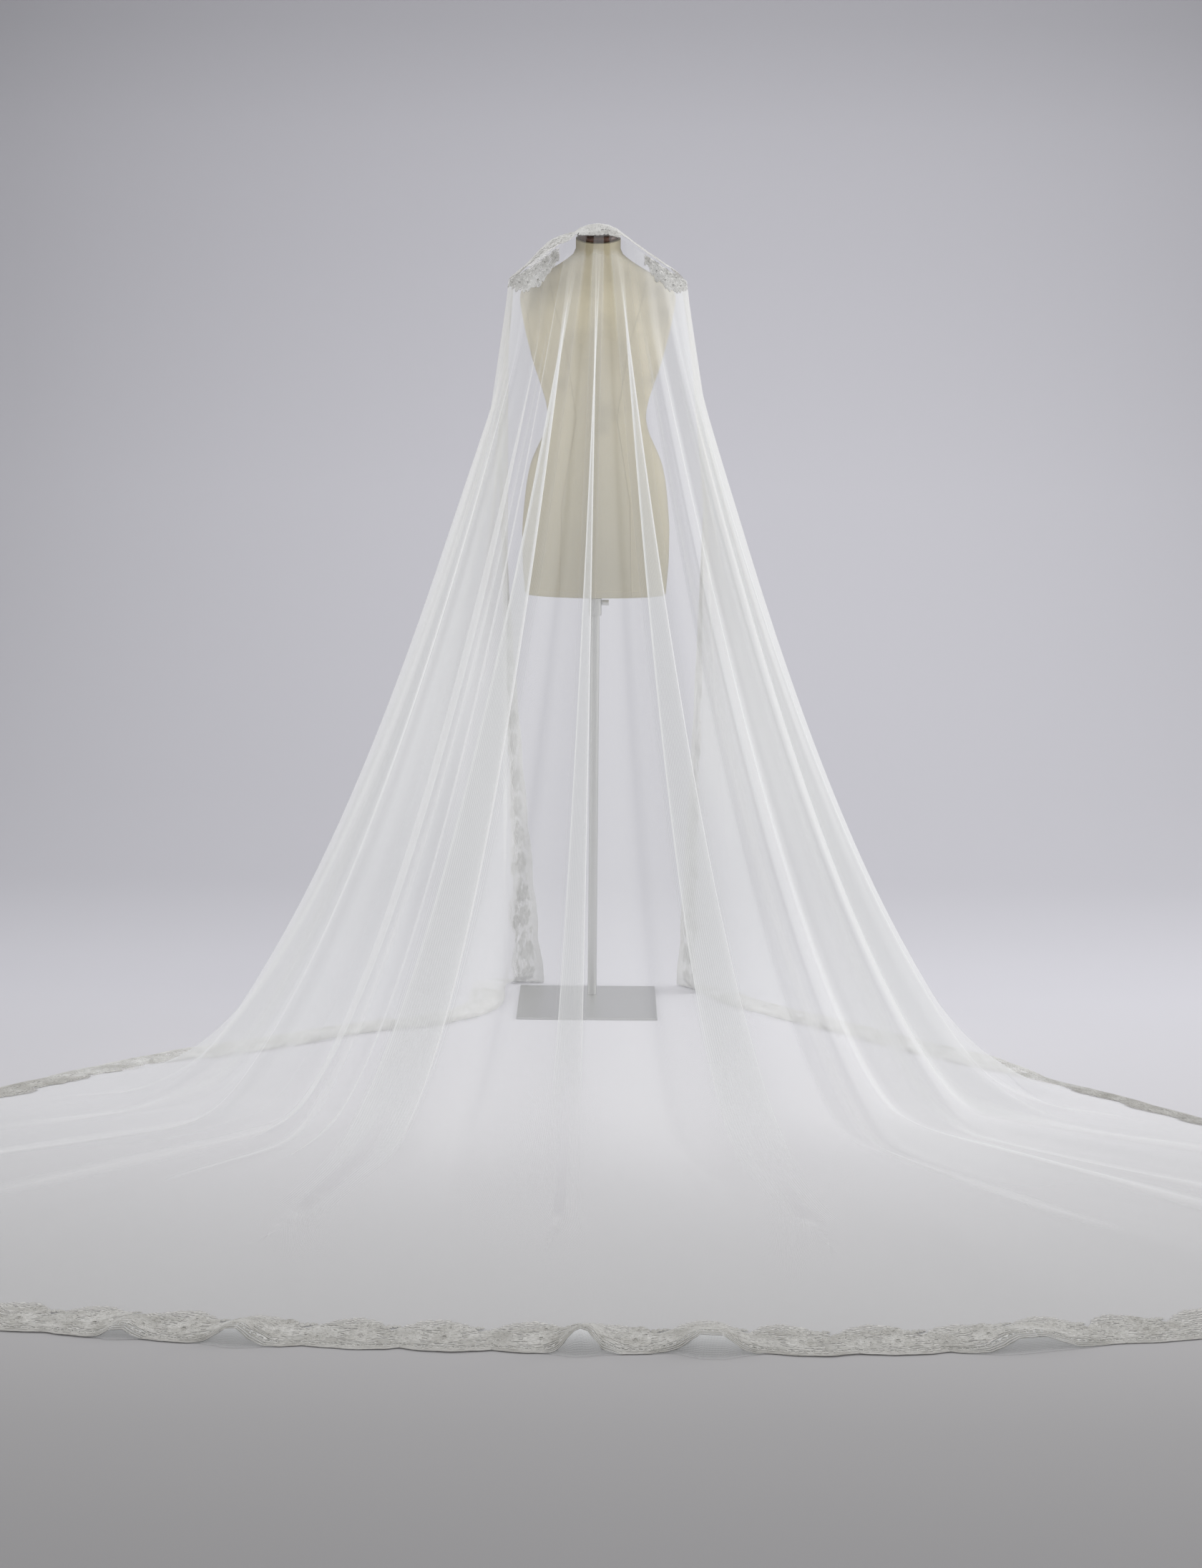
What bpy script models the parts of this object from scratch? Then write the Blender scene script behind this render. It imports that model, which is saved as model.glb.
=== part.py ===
# Long bridal veil of tulle with a lace border, worn over a limbless dress form on a steel stand.
# Metres, +Z up. The front of the form and the train face -Y. The origin is the middle of the base plate's underside.
import math
from collections import namedtuple

import bpy
import numpy as np

# Stand
PLATE_SIDE = 0.32
PLATE_HIGH = 0.005
POLE_X = 0.011
POLE_Y = 0.075
POLE_RADIUS = 0.0105
COLLAR_RADIUS = 0.015
COLLAR_LOW = 0.898
COLLAR_TOP = 0.938
INNER_ROD_RADIUS = 0.008
SCREW_RADIUS = 0.0065
SCREW_LONG = 0.016
SEAM = 0.0003

# Dress form
BODY_X = 0.011
BODY_Y = 0.075
BODY_LOW = 0.947
NECK_TILT = math.radians(16.5)
NECK_TOP = 1.7505
CAP_RADIUS = 0.0475
CAP_HIGH = 0.013
CAP_ROUND = 0.005
BODY_SIDES = 32

# Veil
TULLE_WALL = 0.0015
LACE_WALL = 0.0024
BORDER = 0.15
LAYER = 0.008
FLOOR_GAP = 0.0013
ROWS = 25
ROW_EASE = 1.15
LAP = 18
LACE_SPLIT = 2
SCALLOP = 0.14
SCALLOP_DEEP = 0.014
CROWN_ENDS = 0.035
CROWN_ROWS = (0.0, 0.14, 0.42, 0.72, 1.0)
JOIN = 0.0004
TWIST_ROOM = 14.0

COLOURS = {
    "steel": ((0.42, 0.42, 0.43), 0.42, 1.0),
    "canvas": ((0.80, 0.72, 0.56), 0.85, 0.0),
    "wood": ((0.16, 0.07, 0.045), 0.45, 0.0),
    "tulle": ((0.86, 0.87, 0.88), 0.80, 0.0),
    "lace": ((0.74, 0.74, 0.72), 0.75, 0.0),
}

# Rings of the body from the bottom edge to the neck: half width, and depth to the front and to the back.
Ring = namedtuple("Ring", "z half front back")
BODY = [
    Ring(0.947, 0.161, 0.112, 0.108),
    Ring(1.020, 0.167, 0.118, 0.116),
    Ring(1.100, 0.168, 0.118, 0.122),
    Ring(1.160, 0.163, 0.112, 0.121),
    Ring(1.205, 0.158, 0.107, 0.114),
    Ring(1.248, 0.149, 0.100, 0.104),
    Ring(1.283, 0.134, 0.094, 0.094),
    Ring(1.315, 0.118, 0.088, 0.087),
    Ring(1.350, 0.110, 0.086, 0.083),
    Ring(1.385, 0.115, 0.094, 0.084),
    Ring(1.425, 0.128, 0.110, 0.089),
    Ring(1.465, 0.142, 0.128, 0.097),
    Ring(1.505, 0.154, 0.139, 0.105),
    Ring(1.545, 0.164, 0.139, 0.111),
    Ring(1.580, 0.171, 0.126, 0.110),
    Ring(1.608, 0.176, 0.108, 0.102),
    Ring(1.628, 0.177, 0.090, 0.088),
    Ring(1.642, 0.168, 0.077, 0.076),
    Ring(1.657, 0.148, 0.068, 0.068),
    Ring(1.673, 0.122, 0.062, 0.063),
    Ring(1.689, 0.094, 0.057, 0.059),
    Ring(1.703, 0.070, 0.053, 0.055),
    Ring(1.716, 0.056, 0.0505, 0.0525),
]
NECK_HALF = 0.0505

# One row per fall line of the veil, from the left free edge round the front to the right free edge.
# lip: where the line starts to fall. mid: where it leaves the body. land: where it meets the floor.
# hem: where it ends. lift: how many layers lie under it where the pleat is closed.
Line = namedtuple("Line", "name lip mid land flare_x flare_y hem lift")
LINES = [
    Line("edge_left", (-0.181, 0.130, 1.644), (-0.208, 0.135, 1.29), (-0.100, 0.197), 1.2, 1.0, (-0.118, 0.246), 0),
    Line("far_1", (-0.185, 0.117, 1.647), (-0.209, 0.060, 1.29), (-0.188, 0.172), 1.2, 1.0, (-0.262, 0.222), 0),
    Line("far_2", (-0.188, 0.104, 1.650), (-0.199, 0.045, 1.29), (-0.200, -0.070), 1.10, 1.10, (-0.284, -0.020), 0),
    Line("far_3", (-0.190, 0.091, 1.652), (-0.211, 0.035, 1.29), (-0.310, -0.222), 1.15, 1.15, (-0.358, -0.135), 0),
    Line("far_4", (-0.191, 0.078, 1.653), (-0.206, 0.022, 1.29), (-0.470, -0.305), 1.20, 1.20, (-0.525, -0.220), 0),
    Line("far_5", (-0.191, 0.065, 1.654), (-0.221, 0.012, 1.29), (-0.640, -0.435), 1.35, 1.25, (-0.705, -0.345), 0),
    Line("far_6", (-0.190, 0.052, 1.655), (-0.225, 0.000, 1.29), (-0.780, -0.525), 1.60, 1.30, (-0.880, -0.460), 0),
    Line("wing_left_a", (-0.188, 0.041, 1.656), (-0.235, -0.008, 1.28), (-0.900, -0.575), 1.90, 1.30, (-1.005, -0.575), 0),
    Line("wing_left_b", (-0.183, 0.032, 1.659), (-0.234, -0.030, 1.28), (-0.930, -0.630), 1.88, 1.32, (-1.090, -0.660), 0),
    Line("left_1", (-0.172, 0.024, 1.664), (-0.212, -0.045, 1.40), (-0.900, -0.750), 1.80, 1.38, (-1.260, -0.855), 0),
    Line("left_2", (-0.158, 0.017, 1.671), (-0.194, -0.062, 1.45), (-0.895, -0.880), 1.72, 1.42, (-1.460, -1.105), 0),
    Line("left_3", (-0.143, 0.011, 1.680), (-0.168, -0.060, 1.50), (-0.770, -0.900), 1.65, 1.45, (-1.625, -1.390), 0),
    Line("left_4", (-0.127, 0.006, 1.690), (-0.160, -0.078, 1.50), (-0.760, -1.060), 1.65, 1.50, (-1.690, -1.680), 0),
    Line("left_5", (-0.110, 0.002, 1.702), (-0.125, -0.070, 1.52), (-0.620, -1.020), 1.62, 1.50, (-1.600, -1.930), 0),
    Line("left_6", (-0.092, -0.002, 1.715), (-0.110, -0.075, 1.55), (-0.590, -1.190), 1.60, 1.50, (-1.370, -2.070), 0),
    Line("left_7", (-0.073, -0.005, 1.728), (-0.082, -0.060, 1.60), (-0.520, -1.150), 1.60, 1.50, (-1.090, -2.140), 0),
    Line("band_left_a", (-0.055, -0.003, 1.739), (-0.055, -0.003, 1.739), (-0.485, -1.335), 1.62, 1.50, (-0.720, -2.203), 2.0),
    Line("band_left_b", (-0.046, -0.001, 1.744), (-0.046, -0.001, 1.744), (-0.378, -1.335), 1.90, 1.50, (-0.620, -2.217), 2.0),
    Line("band_left_c", (-0.038, 0.001, 1.748), (-0.038, 0.001, 1.748), (-0.378, -1.335), 1.90, 1.50, (-0.620, -2.217), 1.25),
    Line("band_left_d", (-0.030, 0.003, 1.750), (-0.030, 0.003, 1.750), (-0.485, -1.335), 1.62, 1.50, (-0.720, -2.203), 0.75),
    Line("band_left_e", (-0.023, 0.004, 1.751), (-0.023, 0.004, 1.751), (-0.485, -1.335), 1.62, 1.50, (-0.720, -2.203), 0.0),
    Line("band_left_f", (-0.016, 0.005, 1.752), (-0.016, 0.005, 1.752), (-0.378, -1.335), 1.90, 1.50, (-0.620, -2.217), 0.0),
    Line("valley_left", (-0.006, 0.008, 1.752), (-0.006, 0.008, 1.752), (-0.235, -1.120), 1.75, 1.60, (-0.350, -2.240), 0),
    Line("middle_a", (0.002, 0.006, 1.752), (0.002, 0.006, 1.752), (-0.072, -1.580), 1.50, 1.50, (-0.132, -2.250), 2.0),
    Line("middle_b", (0.006, 0.005, 1.752), (0.006, 0.005, 1.752), (-0.008, -1.580), 1.50, 1.50, (-0.068, -2.251), 2.0),
    Line("middle_c", (0.010, 0.005, 1.752), (0.010, 0.005, 1.752), (-0.008, -1.580), 1.50, 1.50, (-0.068, -2.251), 1.25),
    Line("middle_d", (0.015, 0.005, 1.752), (0.015, 0.005, 1.752), (-0.072, -1.580), 1.50, 1.50, (-0.132, -2.250), 0.75),
    Line("middle_e", (0.019, 0.005, 1.752), (0.019, 0.005, 1.752), (-0.072, -1.580), 1.50, 1.50, (-0.132, -2.250), 0.0),
    Line("middle_f", (0.023, 0.006, 1.752), (0.023, 0.006, 1.752), (-0.008, -1.580), 1.50, 1.50, (-0.068, -2.251), 0.0),
    Line("valley_right", (0.029, 0.008, 1.752), (0.029, 0.008, 1.752), (0.185, -1.180), 1.80, 1.60, (0.270, -2.252), 0),
    Line("band_right_a", (0.036, 0.005, 1.752), (0.036, 0.005, 1.752), (0.312, -1.370), 1.95, 1.50, (0.458, -2.249), 2.0),
    Line("band_right_b", (0.043, 0.004, 1.751), (0.043, 0.004, 1.751), (0.405, -1.370), 1.60, 1.50, (0.560, -2.241), 2.0),
    Line("band_right_c", (0.050, 0.003, 1.749), (0.050, 0.003, 1.749), (0.405, -1.370), 1.60, 1.50, (0.560, -2.241), 1.25),
    Line("band_right_d", (0.057, 0.001, 1.747), (0.057, 0.001, 1.747), (0.312, -1.370), 1.95, 1.50, (0.458, -2.249), 0.75),
    Line("band_right_e", (0.065, -0.001, 1.743), (0.065, -0.001, 1.743), (0.312, -1.370), 1.95, 1.50, (0.458, -2.249), 0.0),
    Line("band_right_f", (0.074, -0.003, 1.738), (0.074, -0.003, 1.738), (0.405, -1.370), 1.60, 1.50, (0.560, -2.241), 0.0),
    Line("right_7", (0.092, -0.005, 1.727), (0.103, -0.060, 1.60), (0.520, -1.130), 1.60, 1.50, (1.040, -2.150), 0),
    Line("right_6", (0.112, -0.002, 1.714), (0.132, -0.075, 1.55), (0.610, -1.190), 1.60, 1.50, (1.345, -2.070), 0),
    Line("right_5", (0.131, 0.002, 1.702), (0.150, -0.070, 1.52), (0.640, -1.010), 1.62, 1.50, (1.600, -1.945), 0),
    Line("right_4", (0.149, 0.006, 1.690), (0.185, -0.078, 1.50), (0.785, -1.070), 1.65, 1.50, (1.700, -1.720), 0),
    Line("right_3", (0.165, 0.011, 1.680), (0.196, -0.060, 1.50), (0.795, -0.910), 1.65, 1.45, (1.640, -1.460), 0),
    Line("right_2", (0.180, 0.017, 1.671), (0.222, -0.062, 1.45), (0.920, -0.890), 1.72, 1.42, (1.470, -1.200), 0),
    Line("right_1", (0.193, 0.024, 1.664), (0.242, -0.045, 1.40), (0.920, -0.775), 1.75, 1.38, (1.255, -0.960), 0),
    Line("wing_right_b", (0.204, 0.032, 1.659), (0.272, -0.030, 1.25), (0.940, -0.665), 1.76, 1.32, (1.075, -0.745), 0),
    Line("wing_right_a", (0.209, 0.041, 1.656), (0.274, -0.008, 1.25), (0.900, -0.610), 1.78, 1.30, (0.985, -0.655), 0),
    Line("far_12", (0.211, 0.052, 1.655), (0.262, 0.000, 1.25), (0.800, -0.535), 1.55, 1.30, (0.895, -0.480), 0),
    Line("far_11", (0.212, 0.065, 1.654), (0.263, 0.012, 1.25), (0.690, -0.430), 1.35, 1.25, (0.755, -0.340), 0),
    Line("far_10", (0.212, 0.078, 1.653), (0.247, 0.024, 1.25), (0.570, -0.290), 1.20, 1.20, (0.625, -0.200), 0),
    Line("far_9", (0.211, 0.091, 1.652), (0.258, 0.036, 1.25), (0.450, -0.165), 1.15, 1.15, (0.500, -0.075), 0),
    Line("far_8", (0.209, 0.104, 1.650), (0.246, 0.048, 1.25), (0.340, -0.040), 1.10, 1.10, (0.405, 0.035), 0),
    Line("far_7", (0.206, 0.117, 1.647), (0.262, 0.062, 1.25), (0.268, 0.080), 1.2, 1.0, (0.345, 0.130), 0),
    Line("edge_right", (0.202, 0.130, 1.644), (0.262, 0.135, 1.25), (0.210, 0.185), 1.2, 1.0, (0.235, 0.236), 0),
]
NAMES = [line.name for line in LINES]

# The three pleats that stay closed down the front and open out flat before the hem, each of six lines.
PLEATS = ("band_left", "middle", "band_right")
PLEAT_EDGE = 0.035
OPEN_FROM = 0.80
OPEN_OVER = 0.16
# Rows set in where the pleats turn over as they open, as a share of the way from the lip to the border.
TURN_ROWS = (0.842, 0.860, 0.8735, 0.8775, 0.880, 0.8825, 0.8865, 0.894)

# Columns set between one line and the next, where the cloth turns softly.
BETWEEN = {
    "left_7": 2, "band_left_f": 2, "valley_left": 2, "middle_f": 2, "valley_right": 2, "band_right_f": 1,
    "band_left_a": 0, "band_left_b": 0, "band_left_c": 0, "band_left_d": 0, "band_left_e": 0,
    "middle_a": 0, "middle_b": 0, "middle_c": 0, "middle_d": 0, "middle_e": 0,
    "band_right_a": 0, "band_right_b": 0, "band_right_c": 0, "band_right_d": 0, "band_right_e": 0,
    "wing_left_a": 0, "wing_right_b": 0, "edge_left": 1, "far_7": 1,
    "far_1": 0, "far_2": 0, "far_3": 0, "far_4": 0, "far_5": 0, "far_6": 1,
    "wing_right_a": 1, "far_12": 0, "far_11": 0, "far_10": 0, "far_9": 0, "far_8": 0,
}

# Places where the lace hem stands off the floor: distance along the hem from its middle, half width, height.
Arch = namedtuple("Arch", "along half high")
ARCHES = [
    Arch(-2.55, 0.07, 0.014), Arch(-2.05, 0.06, 0.020), Arch(-1.62, 0.07, 0.016), Arch(-1.24, 0.06, 0.018),
    Arch(-0.84, 0.06, 0.024), Arch(-0.56, 0.05, 0.016), Arch(-0.40, 0.06, 0.022), Arch(0.16, 0.05, 0.028),
    Arch(0.37, 0.07, 0.026), Arch(0.83, 0.08, 0.022), Arch(1.22, 0.06, 0.015), Arch(1.66, 0.07, 0.020),
    Arch(2.10, 0.06, 0.016), Arch(2.58, 0.07, 0.018),
]

# Soft swells of the train: distance along the hem, distance in from the hem, half sizes and height.
Swell = namedtuple("Swell", "along inward half_along half_in high")
SWELLS = [
    Swell(-2.3, 0.35, 0.16, 0.22, 0.010), Swell(-1.75, 0.45, 0.12, 0.30, 0.013), Swell(-1.35, 0.40, 0.10, 0.25, 0.009),
    Swell(-0.95, 0.45, 0.10, 0.30, 0.012), Swell(-0.35, 0.50, 0.12, 0.30, 0.008), Swell(0.30, 0.45, 0.12, 0.30, 0.008),
    Swell(0.95, 0.45, 0.10, 0.30, 0.012), Swell(1.40, 0.42, 0.11, 0.28, 0.010), Swell(1.85, 0.45, 0.12, 0.30, 0.012),
    Swell(2.35, 0.35, 0.16, 0.22, 0.010),
]

# The border over the cap and the shoulders: its free back edge, one point for each place along the lip.
Crown = namedtuple("Crown", "x y z")
CROWN_BACK = [
    Crown(-0.182, 0.136, 1.6455), Crown(-0.186, 0.136, 1.6500), Crown(-0.178, 0.133, 1.6620), Crown(-0.150, 0.128, 1.6890),
    Crown(-0.110, 0.126, 1.7160), Crown(-0.070, 0.128, 1.7430), Crown(-0.044, 0.127, 1.7640), Crown(-0.028, 0.132, 1.7730),
    Crown(-0.008, 0.137, 1.7798), Crown(0.011, 0.139, 1.7818), Crown(0.030, 0.137, 1.7798), Crown(0.050, 0.132, 1.7730),
    Crown(0.066, 0.127, 1.7640), Crown(0.092, 0.128, 1.7430), Crown(0.132, 0.126, 1.7160), Crown(0.172, 0.128, 1.6890),
    Crown(0.199, 0.133, 1.6620), Crown(0.207, 0.136, 1.6500), Crown(0.203, 0.136, 1.6455),
]


def material(name, key):
    colour, rough, metal = COLOURS[key]
    made = bpy.data.materials.new(name)
    made.use_nodes = True
    shader = made.node_tree.nodes["Principled BSDF"]
    shader.inputs["Base Color"].default_value = (*colour, 1.0)
    shader.inputs["Roughness"].default_value = rough
    shader.inputs["Metallic"].default_value = metal
    return made


def add_object(name, points, faces, key, home, smooth=True):
    mesh = bpy.data.meshes.new(name)
    mesh.from_pydata([tuple(float(value) for value in point) for point in points], [], faces)
    mesh.materials.append(material(name, key))
    for polygon in mesh.polygons:
        polygon.use_smooth = smooth
    made = bpy.data.objects.new(name, mesh)
    home.objects.link(made)
    return made


def cylinder(name, radius, low, top, key, home, x=POLE_X, y=POLE_Y, bevel=0.001, sides=28):
    bpy.ops.mesh.primitive_cylinder_add(vertices=sides, radius=radius, depth=top - low, location=(x, y, (low + top) / 2))
    made = bpy.context.object
    made.name = name
    made.data.materials.append(material(name, key))
    for polygon in made.data.polygons:
        polygon.use_smooth = abs(polygon.normal.z) < 0.5
    if bevel:
        edge = made.modifiers.new("edge", "BEVEL")
        edge.width = bevel
        edge.segments = 1
        edge.limit_method = "ANGLE"
    for old in list(made.users_collection):
        old.objects.unlink(made)
    home.objects.link(made)
    return made


def shell(name, middle, normal, wall, key, home):
    """A closed wall round a grid of middle points, moved out and in along its normals."""
    rows, columns = middle.shape[:2]
    outer = middle + normal * wall / 2
    inner = middle - normal * wall / 2
    points = np.concatenate([outer.reshape(-1, 3), inner.reshape(-1, 3)])
    back = rows * columns
    faces = []
    for row in range(rows - 1):
        for column in range(columns - 1):
            a = row * columns + column
            b = a + 1
            c = a + columns + 1
            d = a + columns
            faces.append((a, d, c, b))
            faces.append((back + a, back + b, back + c, back + d))
    for column in range(columns - 1):
        a = column
        faces.append((a, a + 1, back + a + 1, back + a))
        a = (rows - 1) * columns + column
        faces.append((a + 1, a, back + a, back + a + 1))
    for row in range(rows - 1):
        a = row * columns
        faces.append((a + columns, a, back + a, back + a + columns))
        a = row * columns + columns - 1
        faces.append((a, a + columns, back + a + columns, back + a))
    return add_object(name, points, faces, key, home)


def smoothstep(value):
    held = np.clip(value, 0.0, 1.0)
    return held * held * (3 - 2 * held)


def fall_path(line, count=160):
    """Points down one line: over the body to mid, out to the floor, then along the floor to the hem."""
    lip, mid = np.array(line.lip), np.array(line.mid)
    height = lip[2] * (1 - np.linspace(0, 1, count)) ** 1.3
    above = np.clip((lip[2] - height) / max(lip[2] - mid[2], 1e-6), 0, 1) if lip[2] > mid[2] else np.ones(count)
    down = np.clip(height / mid[2], 0, 1)
    x = lip[0] + (mid[0] - lip[0]) * above + (line.land[0] - mid[0]) * (1 - down ** (1 / line.flare_x))
    y = lip[1] + (mid[1] - lip[1]) * above + (line.land[1] - mid[1]) * (1 - down ** (1 / line.flare_y))
    fall = np.stack([x, y, height], 1)
    along = np.linspace(0, 1, 40)[1:, None]
    land, hem = np.array([*line.land, 0.0]), np.array([*line.hem, 0.0])
    return np.concatenate([fall, land + (hem - land) * along])


def soften(path, passes=14):
    """Rounds the bend at mid and the bend at the floor, keeping both ends."""
    for _ in range(passes):
        path[1:-1] = 0.25 * path[:-2] + 0.5 * path[1:-1] + 0.25 * path[2:]
    return path


def run_of(path):
    steps = np.linalg.norm(np.diff(path, axis=0), axis=1)
    return np.concatenate([[0.0], np.cumsum(steps)])


def at_run(path, run, where):
    return np.stack([np.interp(where, run, path[:, axis]) for axis in range(3)], -1)


def line_points(line, parts):
    """The line sampled for every row: parts run 0 to 1 down to the border, and 1 to 2 across the border."""
    path = soften(fall_path(line))
    run = run_of(path)
    length = run[-1]
    border = min(BORDER, length * 0.2)
    where = np.where(parts <= 1, parts * (length - border), length - border + (parts - 1) * border)
    points = at_run(path, run, where)
    ahead = at_run(path, run, np.minimum(where + 0.004, length))
    behind = at_run(path, run, np.maximum(where - 0.004, 0))
    tangent = ahead - behind
    flat = np.hypot(tangent[:, 0], tangent[:, 1])
    steep = -tangent[:, 2]
    size = np.hypot(flat, steep)
    aim = np.array([line.land[0] - line.lip[0], line.land[1] - line.lip[1]])
    aim = aim / np.linalg.norm(aim)
    out = np.stack([aim[0] * steep / size, aim[1] * steep / size, flat / size], 1)
    closed = smoothstep(where / 0.10) * (1 - smoothstep((parts - 0.93) / 0.06))
    lifted = points + out * (line.lift * LAYER * closed)[:, None]
    lifted[:, 2] = np.maximum(lifted[:, 2], 0) + FLOOR_GAP
    return lifted, length - where


def open_pleat(keys, parts, first):
    """Moves the six lines of a pleat from their closed places to six places side by side as it nears the hem."""
    left = keys[first + 4].copy()
    right = keys[first + 5].copy()
    middle = (left + right) / 2
    half = np.linalg.norm((right - left)[:, :2], axis=1) / 2
    way = unit((right - left) * np.array([1.0, 1.0, 0.0]))
    turn = smoothstep((parts - OPEN_FROM) / OPEN_OVER)[:, None]
    for number, (side, edges) in enumerate(((-1, 2), (-1, 1), (-1, 0), (1, 0), (1, 1), (1, 2))):
        spread = middle + way * (side * (half + edges * PLEAT_EDGE))[:, None]
        spread[:, 2] = keys[first + number][:, 2]
        keys[first + number] = keys[first + number] * (1 - turn) + spread * turn


def between(before, first, last, after, share):
    """A soft curve from first to last, with its end slopes held to the shorter neighbour."""
    def slope(a, b, c):
        one, two = b - a, c - b
        long_one = np.linalg.norm(one, axis=-1, keepdims=True) + 1e-9
        long_two = np.linalg.norm(two, axis=-1, keepdims=True) + 1e-9
        way = one * long_two + two * long_one
        return way / (np.linalg.norm(way, axis=-1, keepdims=True) + 1e-9) * np.minimum(long_one, long_two)
    start, stop = slope(before, first, last), slope(first, last, after)
    s = share
    return ((2 * s**3 - 3 * s**2 + 1) * first + (s**3 - 2 * s**2 + s) * start
            + (3 * s**2 - 2 * s**3) * last + (s**3 - s**2) * stop)


def unit(vectors):
    return vectors / (np.linalg.norm(vectors, axis=-1, keepdims=True) + 1e-12)


def bend_normals(grid):
    """Normals that point out of the cloth, longer where it bends sharply so that the wall keeps its thickness."""
    def ways(axis):
        step = unit(np.diff(grid, axis=axis))
        first = np.take(step, [0], axis=axis)
        last = np.take(step, [-1], axis=axis)
        return np.concatenate([first, step], axis=axis), np.concatenate([step, last], axis=axis)
    across_in, across_out = ways(1)
    down_in, down_out = ways(0)
    across = unit(across_in + across_out)
    down = unit(down_in + down_out)
    normal = unit(np.cross(down, across))
    turn = np.clip((across_in * across_out).sum(-1), -0.6, 1)
    fold = np.clip((down_in * down_out).sum(-1), -0.6, 1)
    longer = 1 / np.sqrt((1 + turn) / 2) / np.sqrt((1 + fold) / 2)
    return normal * np.clip(longer, 1, 1.7)[..., None]


def veil_grid():
    """Every row and column of the cloth: points, normals, distance from the hem and the column of each line."""
    tulle_parts = np.linspace(0, 1, ROWS) ** ROW_EASE
    parts = np.sort(np.concatenate([tulle_parts, TURN_ROWS, [1.34, 1.67, 2.0]]))
    plain = np.flatnonzero(~np.isin(parts, TURN_ROWS))
    sampled = [line_points(line, parts) for line in LINES]
    keys = [points for points, _ in sampled]
    for pleat in PLEATS:
        open_pleat(keys, parts, NAMES.index(pleat + "_a"))
    rests = [rest for _, rest in sampled]
    columns, from_hem, places = [], [], {}
    for number, line in enumerate(LINES):
        places[line.name] = len(columns)
        columns.append(keys[number])
        from_hem.append(rests[number])
        if number == len(LINES) - 1:
            break
        before = keys[max(number - 1, 0)]
        after = keys[min(number + 2, len(LINES) - 1)]
        if number == 0:
            before = 2 * keys[0] - keys[1]
        if number == len(LINES) - 2:
            after = 2 * keys[-1] - keys[-2]
        extra = BETWEEN.get(line.name, 1)
        for step in range(extra):
            share = (step + 1) / (extra + 1)
            columns.append(between(before, keys[number], keys[number + 1], after, share))
            from_hem.append((1 - share) * rests[number] + share * rests[number + 1])
    grid = np.stack(columns, 1)
    distance = np.stack(from_hem, 1)
    grid[..., 2] = np.maximum(grid[..., 2], FLOOR_GAP)
    return grid, distance, places, plain


def hem_run(grid, places):
    """Distance along the hem from the middle pleat, left negative."""
    hem = grid[-1]
    run = run_of(hem)
    return run - run[places["middle_c"]]


def with_swells(grid, distance, along):
    lift = np.zeros(grid.shape[:2])
    for swell in SWELLS:
        side = (along[None, :] - swell.along) / swell.half_along
        inward = (distance - swell.inward) / swell.half_in
        lift += swell.high * np.exp(-side**2 - inward**2)
    low = smoothstep((0.10 - grid[..., 2]) / 0.10) * smoothstep((distance - BORDER) / 0.08)
    made = grid.copy()
    made[..., 2] += lift * low
    return made


def trimmed(block, normal, join=JOIN):
    """Draws the four sides of a block in a little, and more where the seam twists, so that it stands clear."""
    made = block.copy()
    level = unit(normal)
    for axis in (0, 1):
        count = made.shape[axis]
        for here, inside in ((0, 1), (count - 1, count - 2)):
            seam = np.take(level, here, axis=axis)
            step = 1 - (seam[1:] * seam[:-1]).sum(-1)
            twist = np.maximum(np.concatenate([[0.0], step]), np.concatenate([step, [0.0]]))
            side = np.take(made, here, axis=axis)
            way = unit(np.take(made, inside, axis=axis) - side)
            side = side + way * (join * (1 + TWIST_ROOM * twist))[:, None]
            if axis == 0:
                made[here] = side
            else:
                made[:, here] = side
    return made


def split_columns(block, times):
    """The same block with straight columns set between its own."""
    made = []
    for column in range(block.shape[1] - 1):
        for step in range(times):
            share = step / times
            made.append((1 - share) * block[:, column] + share * block[:, column + 1])
    made.append(block[:, -1])
    return np.stack(made, 1)


def scallops(along):
    """How far the cut edge of the lace stands in from its full depth."""
    wave = np.abs(np.sin(math.pi * along / SCALLOP)) ** 0.7
    small = 0.25 * np.abs(np.sin(math.pi * (along + 0.03) / (SCALLOP * 0.37)))
    return SCALLOP_DEEP * (1 - 0.8 * wave - small * 0.6)


def lace_hem(name, grid, normal, along, first, last, corners, home):
    """A length of the border past the tulle: finer columns, a scalloped outer edge and the lifted arches."""
    middle = split_columns(grid[-4:, first:last + 1], LACE_SPLIT)
    out = split_columns(normal[-4:, first:last + 1], LACE_SPLIT)
    run = np.interp(np.arange(middle.shape[1]) / LACE_SPLIT + first, np.arange(grid.shape[1]), along)
    inward = unit(middle[-2] - middle[-1])
    plain = smoothstep((run - along[corners[0]]) / 0.08) * smoothstep((along[corners[1]] - run) / 0.08)
    middle[-1] = middle[-1] + inward * (np.maximum(scallops(run), 0) * plain)[:, None]
    for arch in ARCHES:
        rise = plain * arch.high * np.exp(-(((run - arch.along) / arch.half) ** 2))
        on_floor = smoothstep((0.02 - middle[-1, :, 2]) / 0.02)
        middle[-1, :, 2] += rise * on_floor * 0.75
        middle[-2, :, 2] += rise * on_floor
        middle[-3, :, 2] += rise * on_floor * 0.45
    return shell(name, trimmed(middle, out), out, LACE_WALL, "lace", home)


def tulle(name, grid, normal, first, last, home):
    block, out = grid[:, first:last + 1], normal[:, first:last + 1]
    return shell(name, trimmed(block, out), out, TULLE_WALL, "tulle", home)


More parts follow.
